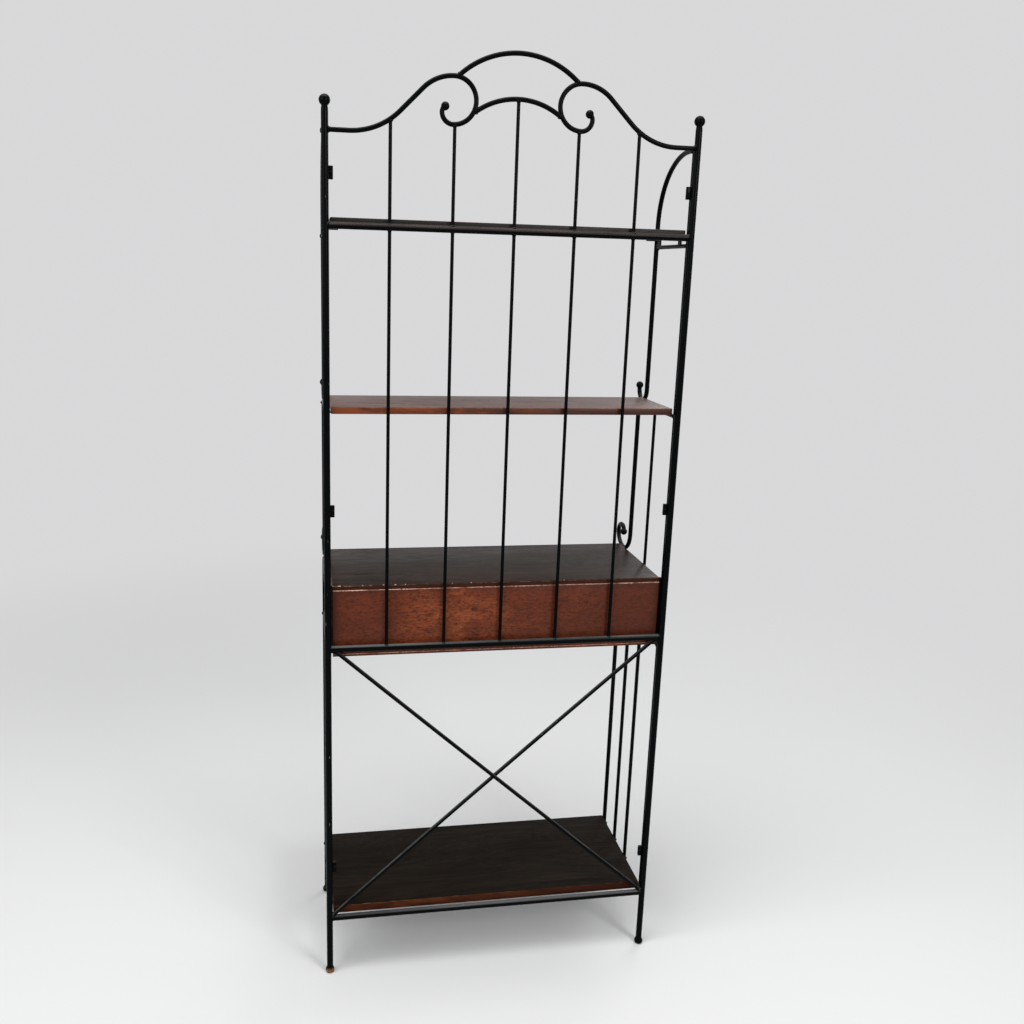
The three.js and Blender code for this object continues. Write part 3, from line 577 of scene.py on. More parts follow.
def worn_line(n, place, at, level, half_height, strength, far_strength):
    """A rubbed line along X at a level, strong towards +X, broken in the middle and back at the -X end"""
    breaks = n.fit(n.noise(place, (150, 0.1, 0.1), 4.0, 0.8), 0.34, 0.64, 0.10, 1.5)
    reach = n.larger(n.times(half_height, breaks), 0.0002)
    band = n.fit(n.minus(1.0, n.maths("DIVIDE", n.apart(at["Z"], level), reach)), 0.0, 0.30)
    near = n.fit(at["X"], 0.10, 0.30, far_strength, strength, smooth=True)
    end = n.fit(at["X"], -0.20, -0.26, 0.0, strength * 0.7, smooth=True)
    gaps = n.fit(n.noise(place, (30, 0.1, 0.1), 4.0, 0.7, shift=3.0), 0.38, 0.54, 0.22, 1.0)
    return n.times(n.times(band, n.larger(near, end)), gaps)


def raw_material(name, grain, finishes):
    """Bare wood of the drawer trays"""
    material, n, place, shader = new_material(name)
    wood = shader_group(n, grain, Vector=place, Scale=1.2, Figure=1.0, Seed=8.0)
    tint = n.blend(wood["Bands"], rgba(finishes.raw), rgba(finishes.raw, 0.72))
    tint = n.blend(n.times(wood["Pores"], 0.4), tint, rgba(finishes.raw, 0.45))
    rough = n.fit(wood["Figure"], 0.0, 1.0, 0.55, 0.72)
    surface(n, shader, tint, rough, wood["Height"], bump=0.3, sheen=0.5, depth=0.0006)
    return material


finish = {}


def make_finishes():
    make_iron()
    grain = wood_grain_group()
    make_boards(grain)
    make_panels(grain)


def make_iron():
    """The irons, each with its key, its material's name, and its streak, rub and chips, where rub is the
    strength of its painted highlight
    """
    colours = bpy.context.scene.rack_finishes
    wear = wear_group()
    upright, level, even = (1.0, 1.0, 0.12), (0.12, 1.0, 1.0), (1.0, 1.0, 1.0)
    for key, name, *values, more in (
        ("iron", "satin_iron", upright, 0.35, 0.05, {}),
        # The rails get the strongest painted highlight on their upward faces
        ("rail_iron", "rubbed_iron", level, 1.0, 0.75, {"lit": (0.42, 0.95)}),
        # The top rail's painted highlight is brown-grey and reaches lower down its side
        ("top_rail_iron", "top_rail_iron", level, 0.62, 0.3,
         {"lit": (-0.25, 0.55), "high": colours.iron_top_rail_highlight}),
        ("brace_iron", "brace_iron", even, 0.7, 0.7, {}),
        ("foot_iron", "bronze_footed_iron", upright, 0.35, 0.62, {"bronzed": True}),
        ("weld_iron", "weld_iron", even, 0.5, 0.3, {}),
    ):
        finish[key] = iron_material(name, wear, colours, *values, **more)


def make_boards(grain):
    """The shelves, the counter, the strips beside the case and the raw wood

    A crack has a depth, start, end and half width. The specks have a depth, half width, start and end.
    """
    colours = bpy.context.scene.rack_finishes
    rear = GRILLE_Y - BOARD_SETBACK
    shelf = (colours.shelf_dark, colours.shelf_light)
    finish["middle_board"] = board_material(
        "middle_board", grain, shelf, (colours.shelf_edge_red, colours.shelf_edge_orange), colours.worn,
        dict(seed=1.0, gloss=0.34, sheen=0.27, arris=0.3, crack=(rear - 0.058, 0.14, 0.322, 0.0042)),
    )
    finish["top_board"] = board_material(
        "top_board", grain, [darker(tone, 0.6) for tone in shelf], [colours.edge_black] * 2,
        colours.edge_red, dict(seed=4.0, gloss=0.42, sheen=0.2, arris=0.5),
    )
    finish["counter_board"] = board_material(
        "counter_board", grain, (colours.counter_dark, colours.counter_light),
        [darker(colours.edge_red, 0.7)] * 2, colours.worn,
        dict(seed=2.0, gloss=0.26, sheen=0.035, arris=0.9, worn_from=0.20,
             crack=(rear - 0.070, 0.235, 0.285, 0.0022), specks=(rear - 0.0008, 0.0016, -0.05, 0.33)),
    )
    base = (colours.base_dark, colours.base_light)
    finish["base_board"] = board_material(
        "base_board", grain, base, (darker(colours.edge_red, 0.6), darker(colours.edge_orange, 0.45)),
        colours.worn, dict(seed=5.0, gloss=0.46, sheen=0.03, arris=0.35),
    )
    # Painted shade: the strips get the base shelf's near-black colour for the deep shade beside the case
    finish["spacer"] = board_material(
        "spacer_strip", grain, [colours.base_dark] * 2, base, colours.edge_red,
        dict(seed=12.0, gloss=0.5, sheen=0.03, arris=0.0),
    )
    finish["raw"] = raw_material("raw_board", grain, colours)


def make_panels(grain):
    """The case's panels and the drawer fronts, each shaded for the board it is named with

    A knot has its place in X, its level and its radius. A worn line has a level, half height and strengths. Lit
    paints light and shade across the back panel's bays.
    """
    colours = bpy.context.scene.rack_finishes
    panel_top = span("case_back", 2)[1]
    for key, name, board, look in (
        ("case_back", "panel_board", "case_back",
         dict(seed=3.0, lit=True, knot=(0.052, 0.788, 0.006),
              worn_line=(panel_top - 0.0007, 0.0014, 0.72, 0.36))),
        ("case_bottom", "bottom_board", "case_bottom",
         dict(seed=7.0, worn_line=(middle("case_bottom").z - 0.0005, 0.0009, 0.5, 0.4))),
        ("case_inside", "inside_board", "case_bottom", dict(seed=9.0)),
        ("front_left", "drawer_front_board_left", "drawer_front_left", dict(seed=10.0)),
        ("front_right", "drawer_front_board_right", "drawer_front_right", dict(seed=11.0)),
    ):
        finish[key] = panel_material(name, grain, colours, board, look)


# Geometry node trees


def named(n, name, kind="FLOAT"):
    return n.add("GeometryNodeInputNamedAttribute", {"Name": name}, data_type=kind).outputs["Attribute"]


def finish_tree(n, out, geometry, paint):
    """Ends a tree: its instances made real, smooth and painted"""
    real = n.add("GeometryNodeRealizeInstances", {"Geometry": geometry}).outputs[0]
    smooth = n.add("GeometryNodeSetShadeSmooth", {"Geometry": real}).outputs[0]
    painted = n.add("GeometryNodeSetMaterial", {"Geometry": smooth, "Material": paint}).outputs[0]
    n.put(out["Geometry"], painted)
    return n.tree


def bar_tree():
    """Sweeps round bar along each path, as thick as its points say, with a ball on points that have one"""
    n, given, out = new_tree(
        "Round bar", "GeometryNodeTree",
        [("Geometry", GEOMETRY, None), ("Sides", WHOLE, 24), ("Ball Sides", WHOLE, 24),
         ("Finish", PAINT, None)],
        [("Geometry", GEOMETRY)],
    )
    path = n.add("GeometryNodeMeshToCurve", {"Mesh": given["Geometry"]}).outputs[0]
    ring = n.add("GeometryNodeCurvePrimitiveCircle", {"Resolution": given["Sides"], "Radius": 1.0}).outputs[0]
    swept = n.add("GeometryNodeCurveToMesh", {
        "Curve": path, "Profile Curve": ring, "Scale": named(n, "bar_radius"), "Fill Caps": True,
    })
    ball = n.add("GeometryNodeMeshUVSphere", {
        "Segments": given["Ball Sides"], "Rings": n.times(given["Ball Sides"], 0.5), "Radius": 1.0,
    })
    ball_radius = named(n, "ball_radius")
    has_ball = n.add(
        "FunctionNodeCompare", {0: ball_radius, 1: 0.0}, data_type="FLOAT", operation="GREATER_THAN",
    )
    balls = n.add("GeometryNodeInstanceOnPoints", {
        "Points": given["Geometry"], "Selection": has_ball.outputs[0], "Instance": ball.outputs[0],
        "Scale": ball_radius,
    })
    joined = n.add("GeometryNodeJoinGeometry")
    n.put(joined.inputs[0], swept.outputs[0])
    n.put(joined.inputs[0], balls.outputs[0])
    return finish_tree(n, out, joined.outputs[0], given["Finish"])


def scatter_tree():
    """Puts a copy of a small part on each point, turned to the point's axis and as large as the point says"""
    n, given, out = new_tree(
        "Small parts", "GeometryNodeTree",
        [("Geometry", GEOMETRY, None), ("Part", PART, None), ("Unevenness", FLOAT, 0.0), ("Seed", WHOLE, 4),
         ("Finish", PAINT, None)],
        [("Geometry", GEOMETRY)],
    )
    part = n.add("GeometryNodeObjectInfo", {"Object": given["Part"]}, transform_space="ORIGINAL")
    axis = named(n, "part_axis", "FLOAT_VECTOR")
    aimed = n.add("FunctionNodeAlignRotationToVector", {"Vector": axis}, axis="Z").outputs[0]
    spin = n.add("FunctionNodeRandomValue", {2: 0.0, 3: math.tau, "Seed": given["Seed"]}, data_type="FLOAT")
    twist = n.add("FunctionNodeAxisAngleToRotation", {"Axis": (0, 0, 1), "Angle": spin.outputs[1]}).outputs[0]
    turned = n.add("FunctionNodeRotateRotation", {0: aimed, 1: twist}, rotation_space="LOCAL").outputs[0]
    placed = n.add("GeometryNodeInstanceOnPoints", {
        "Points": given["Geometry"], "Instance": part.outputs["Geometry"], "Rotation": turned,
        "Scale": named(n, "part_size"),
    })
    real = n.add("GeometryNodeRealizeInstances", {"Geometry": placed.outputs[0]}).outputs[0]
    rough = n.add("ShaderNodeTexNoise", {"Scale": 420.0, "Detail": 1.0}).outputs[0]
    lift = n.swing(rough, given["Unevenness"])
    offset = n.vectors("SCALE", {0: n.add("GeometryNodeInputNormal").outputs[0], "Scale": lift})
    moved = n.add("GeometryNodeSetPosition", {"Geometry": real, "Offset": offset}).outputs[0]
    return finish_tree(n, out, moved, given["Finish"])


def link(piece):
    bpy.context.scene.collection.objects.link(piece)
    return piece


def shaped(name, tree_name, make_tree, points, edges, values, **inputs):
    """Runs a tree on points or paths that have values on their points, and gives a plain object"""
    tree = bpy.data.node_groups.get(tree_name) or make_tree()
    mesh = bpy.data.meshes.new(name + "_points")
    mesh.from_pydata([tuple(p) for p in points], edges, [])
    for label, items in values.items():
        if isinstance(items[0], Vector):
            made = mesh.attributes.new(label, "FLOAT_VECTOR", "POINT").data
            made.foreach_set("vector", [value for item in items for value in item])
        else:
            mesh.attributes.new(label, "FLOAT", "POINT").data.foreach_set("value", items)
    piece = link(bpy.data.objects.new(name, mesh))
    modifier = piece.modifiers.new("shape", "NODES")
    modifier.node_group = tree
    for item in tree.interface.items_tree:
        label = item.name.replace(" ", "_")
        if item.in_out == "INPUT" and label in inputs:
            modifier[item.identifier] = inputs[label]
    bpy.context.view_layer.update()
    graph = bpy.context.evaluated_depsgraph_get()
    made = bpy.data.meshes.new_from_object(piece.evaluated_get(graph), depsgraph=graph)
    piece.modifiers.clear()
    piece.data = made
    bpy.data.meshes.remove(mesh)
    made.name = name
    for label in values:
        if label in made.attributes:
            made.attributes.remove(made.attributes[label])
    return piece


def seat(piece, body, slot, *nodes):
    """Puts a piece on its body, in place of the CAD nodes that it finishes"""
    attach(piece, body)
    if nodes:
        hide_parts(*nodes)


# Paths of the bars


def follow_bends(start, heading, moves):
    """Points of a path in a plane, from runs and bends

    A move is ("run", length) or ("bend", radius, angle), where a positive angle turns left.
    """
    across, up = start
    points = [(across, up)]
    for kind, *values in moves:
        if kind == "run":
            count = max(1, math.ceil(values[0] / RUN_STEP))
            for _ in range(count):
                across += values[0] / count * math.cos(heading)
                up += values[0] / count * math.sin(heading)
                points.append((across, up))
            continue
        radius, turn = values
        side = math.copysign(QUARTER, turn)
        centre = (across + radius * math.cos(heading + side), up + radius * math.sin(heading + side))
        count = max(3, math.ceil(abs(turn) / BEND_STEP))
        for i in range(1, count + 1):
            back = heading + turn * i / count + side
            across = centre[0] - radius * math.cos(back)
            up = centre[1] - radius * math.sin(back)
            points.append((across, up))
        heading += turn
    return points


def grille(across, up, out=0.0):
    """A point in the plane of the grille"""
    return Vector((across, GRILLE_Y + out, up))


def side_plane(side):
    """Points in the plane of a side frame, from their depth in front of the grille and their height"""
    return lambda depth, up: Vector((side * POST_X, GRILLE_Y - depth, up))


def straight(start, end, count):
    return [start.lerp(end, i / (count - 1)) for i in range(count)]


def bar(points, diameter, ball=0.0):
    """A round bar as its path's points, a radius for each, and the radius of the ball at its end

    A list in place of the diameter holds the radii themselves.
    """
    radii = diameter if isinstance(diameter, list) else [diameter / 2] * len(points)
    return points, radii, ball / 2


def make_bars(name, bars, nodes, material, sides, body="rack"):
    """Round bars as one piece, which stands for their CAD nodes"""
    points, edges, radii, balls = [], [], [], []
    for path, path_radii, ball in bars:
        first = len(points)
        points += path
        edges += [(i, i + 1) for i in range(first, len(points) - 1)]
        radii += path_radii
        balls += [0.0] * (len(path) - 1) + [ball]
    piece = shaped(
        name, "Round bar", bar_tree, points, edges, {"bar_radius": radii, "ball_radius": balls},
        Sides=sides, Ball_Sides=28, Finish=finish[material],
    )
    seat(piece, body, "iron", *nodes)
    return piece


def make_bar(node, points, diameter, ball=0.0, material="iron", sides=24, body="rack"):
    """One round bar that stands for one CAD node"""
    return make_bars(f"{node}_finished", [bar(points, diameter, ball)], [node], material, sides, body)


weld_spots = []


def weld(place, axis, bar_radius):
    """A weld round a bar at place, where axis points away from what the bar is welded to"""
    weld_spots.append((place, axis.normalized(), bar_radius))


def foot_profile(bars, bar_radius):
    """Height and radius up a flared foot, from the floor to its bar"""
    sole, belly, height = bars.sole / 2, bars.foot / 2, bars.foot_height
    flare = belly - sole
    low, waist, steps = 0.003, height * 0.4, 8
    profile = [(0.0, sole * 0.6), (0.0003, sole), (0.0015, sole + flare * 0.55)]
    for i in range(steps + 1):
        rise = i / steps
        bulge = 0.75 + 0.25 * math.sin(math.pi * rise * 0.75)
        profile.append((low + (waist - low) * rise, sole + flare * bulge))
    start = profile[-1][1]
    for i in range(1, steps + 1):
        fall = 0.5 - 0.5 * math.cos(math.pi * i / steps)
        profile.append((waist + (height - waist) * i / steps, start + (bar_radius - start) * fall))
    return profile


def add_posts(bars):
    """The posts, each with its foot and with its neck and ball finial"""
    radius, ball = bars.post / 2, bars.finial / 2
    waist = math.asin(radius * 0.86 / ball)
    neck = bars.finial_level - ball * math.cos(waist)
    profile = foot_profile(bars, radius)
    profile += [(neck - 0.012, radius), (neck - 0.006, radius * 0.985), (neck - 0.0015, radius * 0.90)]
    steps = 20
    for i in range(steps + 1):
        turn = (math.pi - waist) * (1 - i / steps)
        profile.append((bars.finial_level + ball * math.cos(turn), max(ball * math.sin(turn), 0.0002)))
    for side_name, side in SIDES:
        points = [grille(side * POST_X, z) for z, _ in profile]
        paint = "foot_iron" if side > 0 else "iron"
        make_bar(f"post_{side_name}", points, [r for _, r in profile], material=paint, sides=32)


def arch_points(bends):
    """The right scroll arch, from its post up and over its crest and into the curl"""
    sweep = bends.sweep_angle
    line_start = POST_X - bends.lead_run - bends.sweep * math.sin(sweep)
    line_end = bends.crest_offset + bends.shoulder * math.sin(sweep)
    return follow_bends((POST_X, bends.arch_level), math.pi, [
        ("run", bends.lead_run),
        ("bend", bends.sweep, -sweep),
        ("run", (line_start - line_end) / math.cos(sweep)),
        ("bend", bends.shoulder, sweep),
        ("bend", bends.curl_1, QUARTER),
        ("bend", bends.curl_2, QUARTER),
        ("bend", bends.curl_3, QUARTER),
        ("bend", bends.curl_4, bends.curl_tip),
    ])


def arc_over(half_span, level, rise):
    """An arc over the middle, from the right end of its span to the left"""
    radius = (half_span ** 2 + rise ** 2) / (2 * rise)
    half = math.asin(half_span / radius)
    return follow_bends((half_span, level), math.pi - half, [("bend", radius, 2 * half)])


def add_arched_top(bars, bends):
    """The two scroll arches, the crown arch over them and the inner arch between them"""
    points = arch_points(bends)
    crest = max(up for _, up in points)
    for side_name, side in SIDES:
        path = [grille(side * across, up) for across, up in points]
        make_bar(f"arch_scroll_{side_name}", path, bars.arch, bars.scroll_ball)
        inward = Vector((-side, 0, 0))
        weld(path[0] + inward * bars.post / 2, inward, bars.arch / 2)
    inner_half = span("inner_arch", 0)[1]
    for node, arc in (
        ("crown_arch", arc_over(bends.crown_half_span, crest, bends.crown_rise)),
        ("inner_arch", arc_over(inner_half, crest - bends.inner_drop, bends.inner_rise)),
    ):
        path = [grille(*p) for p in arc]
        make_bar(node, path, bars.arch)
        for end, inward in ((path[0], path[2]), (path[-1], path[-3])):
            away = (inward - end).normalized()
            weld(end + away * bars.arch * 0.40, away, bars.arch * 0.39)


def add_grille(bars):
    """The five thin bars of the grille and the three rails, with their welds"""
    counter_top = span("counter_rail", 2)[1]
    rail_low, rail_high = span("top_rail", 2)
    thin, nodes = [], [f"back_bar_{i}" for i in range(1, 6)]
    for node in nodes:
        x, high = middle(node).x, span(node, 2)[1]
        path = straight(grille(x, counter_top - bars.post * 0.2), grille(x, high + TUCK), 24)
        thin.append(bar(path, bars.bar))
        for level, axis in ((counter_top - 0.0005, UP), (rail_high - 0.0005, UP),
                            (rail_low + 0.0005, DOWN), (high - 0.0002, DOWN)):
            weld(grille(x, level), axis, bars.bar / 2)
    make_bars("grille_bars_finished", thin, nodes, "iron", 16)
    inner = POST_X - bars.post * 0.3
    for node in ("top_rail", "counter_rail", "base_rail"):
        z = middle(node).z
        paint = "top_rail_iron" if node == "top_rail" else "rail_iron"
        make_bar(node, straight(grille(-inner, z), grille(inner, z), 40), bars.post, material=paint, sides=32)
        for _, side in SIDES:
            weld(grille(side * (POST_X - bars.post / 2), z), Vector((-side, 0, 0)), bars.post * 0.36)


def add_braces(bars, bends):
    """The crossed braces, bowed out of the grille's plane so that they pass each other"""
    low, high = middle("base_rail").z, middle("counter_rail").z
    bow = (bars.brace + WELD_GAP) / 2
    reach = POST_X - bars.post * 0.35
    steps = 20
    for node, side in (("brace_rising", -1), ("brace_falling", 1)):
        points = []
        for i in range(-steps, steps + 1):
            along = i / steps
            z = (low + high) / 2 + bends.brace_lift + along * (high - low) / 2
            points.append(grille(side * along * reach, min(z, high), bow * (1 - along ** 2) * side))
        make_bar(node, points, bars.brace, material="brace_iron", sides=20)
        for end, inward in ((points[0], points[3]), (points[-1], points[-4])):
            away = (inward - end).normalized()
            weld(end + away * bars.post * 0.42, away, bars.brace / 2)


def add_side_frame(side_name, side, bars, bends):
    """The upright, the two front rods and the front leg of a side frame, and then its rails"""
    place = side_plane(side)
    low, high = span(f"side_upright_{side_name}", 2)
    foot = [(low, 0.6), (low + 0.001, 0.9), (low + 0.0025, 1)]
    cap = [(high - 0.003, 1), (high - 0.0012, 0.9), (high, 0.55)]
    heights = foot + [(low + (high - low) * i / 30, 1) for i in range(1, 30)] + cap
    make_bar(
        f"side_upright_{side_name}", [place(bends.upright_depth, z) for z, _ in heights],
        [bars.rod / 2 * r for _, r in heights], sides=28,
    )
    front = bends.upright_depth + bars.rod / 2
    add_upper_rod(side_name, place, bars, bends)
    weld(place(front, bends.arch_level - bends.canopy_drop), Vector((0, -1, -0.05)), bars.rod / 2)
    add_lower_rod(side_name, place, bars, bends)
    rail_low = span(f"middle_side_rail_{side_name}", 2)[0]
    weld(place(bends.lower_rod_depth, rail_low), DOWN, bars.rod / 2)
    profile = foot_profile(bars, bars.rod / 2)
    leg = follow_bends((bends.leg_depth, bars.foot_height), QUARTER, [
        ("run", bends.arm_level - bars.foot_height - bends.leg_bend),
        ("bend", bends.leg_bend, QUARTER),
        ("run", bends.leg_depth - bends.leg_bend - bends.upright_depth - bars.rod * 0.3),
    ])[1:]
    make_bar(
        f"front_leg_{side_name}", [place(bends.leg_depth, z) for z, _ in profile] + [place(*p) for p in leg],
        [r for _, r in profile] + [bars.rod / 2] * len(leg),
    )
    weld(place(front, bends.arm_level), FORWARD, bars.rod / 2)
    add_side_rails(side_name, side, bars, bends)


def add_upper_rod(side_name, place, bars, bends):
    """The upper front rod, from its upright over the canopy curve and down to its hook"""
    first = bends.canopy_angle
    reach = bends.canopy_rod_depth - bends.upright_depth - bends.canopy_run - bends.canopy * math.sin(first)
    second = reach / (1 - math.sin(first))
    start = bends.arch_level - bends.canopy_drop
    fall = bends.canopy * (1 - math.cos(first)) + second * math.cos(first)
    hook_low = rail_level("middle", side_name) + bars.side_rail / 2 + CLEARANCE + bars.rod / 2
    points = follow_bends((bends.upright_depth, start), 0, [
        ("run", bends.canopy_run),
        ("bend", bends.canopy, -first),
        ("bend", second, first - QUARTER),
        ("run", start - fall - hook_low - bends.hook),
        ("bend", bends.hook, math.pi),
        ("run", bends.hook_rise),
    ])
    make_bar(f"upper_front_rod_{side_name}", [place(*p) for p in points], bars.rod, bars.rod_ball)


def add_lower_rod(side_name, place, bars, bends):
    """The lower front rod, from the middle rail down and round into the scroll on the counter arm"""
    rail = rail_level("middle", side_name)
    points = follow_bends((bends.lower_rod_depth, rail), -QUARTER, [
        ("run", rail - bends.arm_level - bars.rod - CLEARANCE - bends.side_curl_1),
        ("bend", bends.side_curl_1, QUARTER),
        ("bend", bends.side_lift, bends.side_lift_angle),
        ("bend", bends.side_curl_2, QUARTER - bends.side_lift_angle),
        ("bend", bends.side_curl_3, QUARTER),
        ("run", bends.side_crown),
        ("bend", bends.side_curl_4, QUARTER),
        ("bend", bends.side_curl_5, bends.side_tip),
    ])
    make_bar(f"lower_front_rod_{side_name}", [place(*p) for p in points], bars.rod, bars.rod_ball)


def rail_level(level_name, side_name):
    """Height of a side rail's middle"""
    low = span(f"{level_name}_side_rail_{side_name}", 2)[0]
    return low + bpy.context.scene.rack_bars.side_rail / 2


def add_side_rails(side_name, side, bars, bends):
    """The four rails of a side frame with their ledges, and the thin bars between them"""
    place = side_plane(side)
    half = bars.side_rail / 2
    start, front = bends.upright_depth + bars.rod * 0.3, bends.upright_depth + bars.rod / 2
    for level_name, depth in (
        ("top", bends.canopy_rod_depth), ("middle", bends.lower_rod_depth + bars.rod / 2 + WELD_GAP),
        ("case", bends.leg_depth), ("base", bends.leg_depth),
    ):
        node = f"{level_name}_side_rail_{side_name}"
        z = rail_level(level_name, side_name)
        path = straight(place(start, z), place(depth, z), 24)
        rail = make_bar(node, path, bars.side_rail, material="rail_iron", sides=20)
        add_ledges(rail, node, side, z)
        weld(place(front, z), FORWARD, bars.side_rail * 0.40)
        if level_name != "middle":
            weld(place(depth - bars.rod / 2, z), REARWARD, half)
    middle_low = rail_level("middle", side_name) - half
    case_low, base_top = rail_level("case", side_name) - half, rail_level("base", side_name) + half
    thin, nodes = [], []
    for name, bottom, top, diameter, count in (
        ("upper_side_bar", bends.arm_level + bars.rod / 2, middle_low, bars.bar, 16),
        ("lower_side_bar_1", base_top, case_low, bars.lower_bar, 20),
        ("lower_side_bar_2", base_top, case_low, bars.lower_bar, 20),
    ):
        nodes.append(f"{name}_{side_name}")
        depth = GRILLE_Y - middle(nodes[-1]).y
        thin.append(bar(straight(place(depth, bottom - TUCK), place(depth, top + TUCK), count), diameter))
        weld(place(depth, top), DOWN, diameter / 2)
        weld(place(depth, bottom), UP, diameter / 2)
    make_bars(f"side_bars_{side_name}_finished", thin, nodes, "iron", 16)


def add_ledges(rail, node, side, level):
    """The two bent ledges of a side rail, on which a board rests, joined into the rail's piece"""
    inboard, longest = POST_X - 0.008, 0.03
    corners = [v.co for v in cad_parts[node].data.vertices if abs(v.co.x) < inboard]
    ys = sorted({round(c.y, 4) for c in corners})
    groups = [[y for y in ys if y - ys[0] < longest], [y for y in ys if y - ys[0] >= longest]]
    top = max(c.z for c in corners)
    inner = min(abs(c.x) for c in corners)
    outline = [(POST_X, level), (POST_X, top), (inner, top), (inner, top - PLATE),
               (POST_X - PLATE, top - PLATE), (POST_X - PLATE, level)]
    mesh = bmesh.new()
    for group in groups:
        ends = [[mesh.verts.new((side * x, y, z)) for x, z in outline] for y in (group[0], group[-1])]
        mesh.faces.new(ends[0])
        mesh.faces.new(ends[1][::-1])
        join_rings(mesh, ends[1], ends[0])
    bmesh.ops.recalc_face_normals(mesh, faces=mesh.faces)
    edges = [e for e in mesh.edges if e.calc_face_angle(0) > 0.5]
    bmesh.ops.bevel(mesh, geom=edges, offset=0.0005, segments=2, affect="EDGES", profile=0.5)
    mesh.from_mesh(rail.data)
    mesh.to_mesh(rail.data)
    mesh.free()


def join_rings(mesh, first, second):
    """A band of four-sided faces between two closed rings of points"""
    for i in range(len(first)):
        j = (i + 1) % len(first)
        mesh.faces.new((first[i], first[j], second[j], second[i]))


def add_clips(bars, boards):
    """The tabs that join each side frame to its post, with a rivet through each"""
    rivets = []
    for level_name in ("top", "middle", "bottom"):
        for side_name, side in SIDES:
            node = f"clip_{level_name}_{side_name}"
            low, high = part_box(node)
            inner = min(abs(low.x), abs(high.x))
            left, right = sorted((side * inner, side * (POST_X - bars.post * 0.35)))
            piece = eased_block(
                f"{node}_finished", (left, low.y, low.z), (right, high.y, high.z), boards.tab_ease,
                finish["iron"],
            )
            seat(piece, "rack", "iron", node)
            x = side * (inner + POST_X - bars.post / 2) / 2
            rivets.append((Vector((x, high.y - CLEARANCE, (low.z + high.z) / 2)), REARWARD, boards.rivet / 2))
    scatter("clip_rivets", rivets, rivet_part(), 0.0)


def mesh_data(name, mesh):
    """Turns a bmesh into mesh data and frees it"""
    data = bpy.data.meshes.new(name)
    mesh.to_mesh(data)
    mesh.free()
    return data


def plain_piece(name, mesh, material):
    data = mesh_data(name, mesh)
    data.materials.append(material)
    return link(bpy.data.objects.new(name, data))


def turned_part(name, profile, sides):
    """A small part of unit size, turned about Z"""
    mesh = bmesh.new()
    verts = [mesh.verts.new((r, 0, z)) for r, z in profile]
    edges = [mesh.edges.new(pair) for pair in zip(verts, verts[1:])]
    bmesh.ops.spin(mesh, geom=verts + edges, cent=(0, 0, 0), axis=UP, angle=math.tau, steps=sides)
    bmesh.ops.remove_doubles(mesh, verts=mesh.verts, dist=1e-5)
    bmesh.ops.recalc_face_normals(mesh, faces=mesh.faces)
    return bpy.data.objects.new(name, mesh_data(name, mesh))


def weld_part():
    """A concave collar that flares out to what the bar is welded to"""
    flare, steps = 1.62, 7
    profile = [(0.0, 1.5), (0.9, 1.5)]
    for i in range(steps + 1):
        turn = QUARTER * i / steps
        profile.append((flare - (flare - 0.99) * math.cos(turn), 1.05 - 1.05 * math.sin(turn)))
    profile += [(flare + 0.04, -0.12), (flare - 0.1, -0.35), (0.0, -0.35)]
    return turned_part("weld_collar", profile, 16)


def rivet_part():
    profile = [(0.0, -0.3), (0.95, -0.3), (1.0, 0.0), (1.0, 0.10), (0.88, 0.30), (0.62, 0.44), (0.30, 0.51),
               (0.0, 0.53)]
    return turned_part("rivet_head", profile, 20)


def scatter(name, spots, part, unevenness):
    """One piece with a copy of a small part on each spot"""
    places, axes, sizes = zip(*spots)
    piece = shaped(
        name, "Small parts", scatter_tree, places, [], {"part_axis": axes, "part_size": sizes},
        Part=part, Unevenness=unevenness, Seed=4, Finish=finish["weld_iron"],
    )
    bpy.data.objects.remove(part)
    seat(piece, "rack", "iron")


# Boards


def eased_block(name, low, high, ease, material, segments=3):
    """A block with its edges rounded, smooth but for the edges that stay sharp"""
    mesh = bmesh.new()
    verts = bmesh.ops.create_cube(mesh, size=1.0)["verts"]
    bmesh.ops.scale(mesh, verts=verts, vec=[b - a for a, b in zip(low, high)])
    bmesh.ops.translate(mesh, verts=verts, vec=[(a + b) / 2 for a, b in zip(low, high)])
    bmesh.ops.bevel(mesh, geom=mesh.edges[:], offset=ease, segments=segments, affect="EDGES", profile=0.5)
    for face in mesh.faces:
        face.smooth = True
    for edge in mesh.edges:
        edge.smooth = edge.calc_face_angle(0) < SHARP
    return plain_piece(name, mesh, material)


def add_board(node, ease, look, slot, segments=3):
    piece = eased_block(f"{node}_finished", *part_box(node), ease, finish[look], segments)
    seat(piece, "rack", slot, node)


def add_shelves(boards):
    """The three shelves"""
    for level_name in ("top", "middle", "base"):
        add_board(f"{level_name}_shelf", boards.ease, f"{level_name}_board", "dark_board")


def add_case(boards):
    """The counter board and the panels of the drawer case"""
    add_board("case_top", boards.ease, "counter_board", "dark_board")
    for node in ("case_bottom", "case_back", "case_end_left", "case_end_right", "case_divider"):
        add_board(node, BOARD_EASE, node if node in finish else "case_inside", "red_board", 2)


def add_spacers(bars, boards):
    """Strips that close the gap between the case's ends and the uprights of the side frames, painted near-black
    for the deep shade in that gap
    """
    low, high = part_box("case_back")
    top = span("case_top", 2)[1]
    rear = high.y - 0.0006
    for side_name, side in SIDES:
        outer = POST_X - bars.rod / 2 - 0.0002
        left, right = sorted((side * (max(abs(low.x), abs(high.x)) + CLEARANCE), side * outer))
        piece = eased_block(
            f"case_spacer_{side_name}", (left, rear - boards.spacer_depth, low.z + 0.001),
            (right, rear, top - 0.001), BOARD_EASE, finish["spacer"], 2,
        )
        seat(piece, "rack", "dark_board")


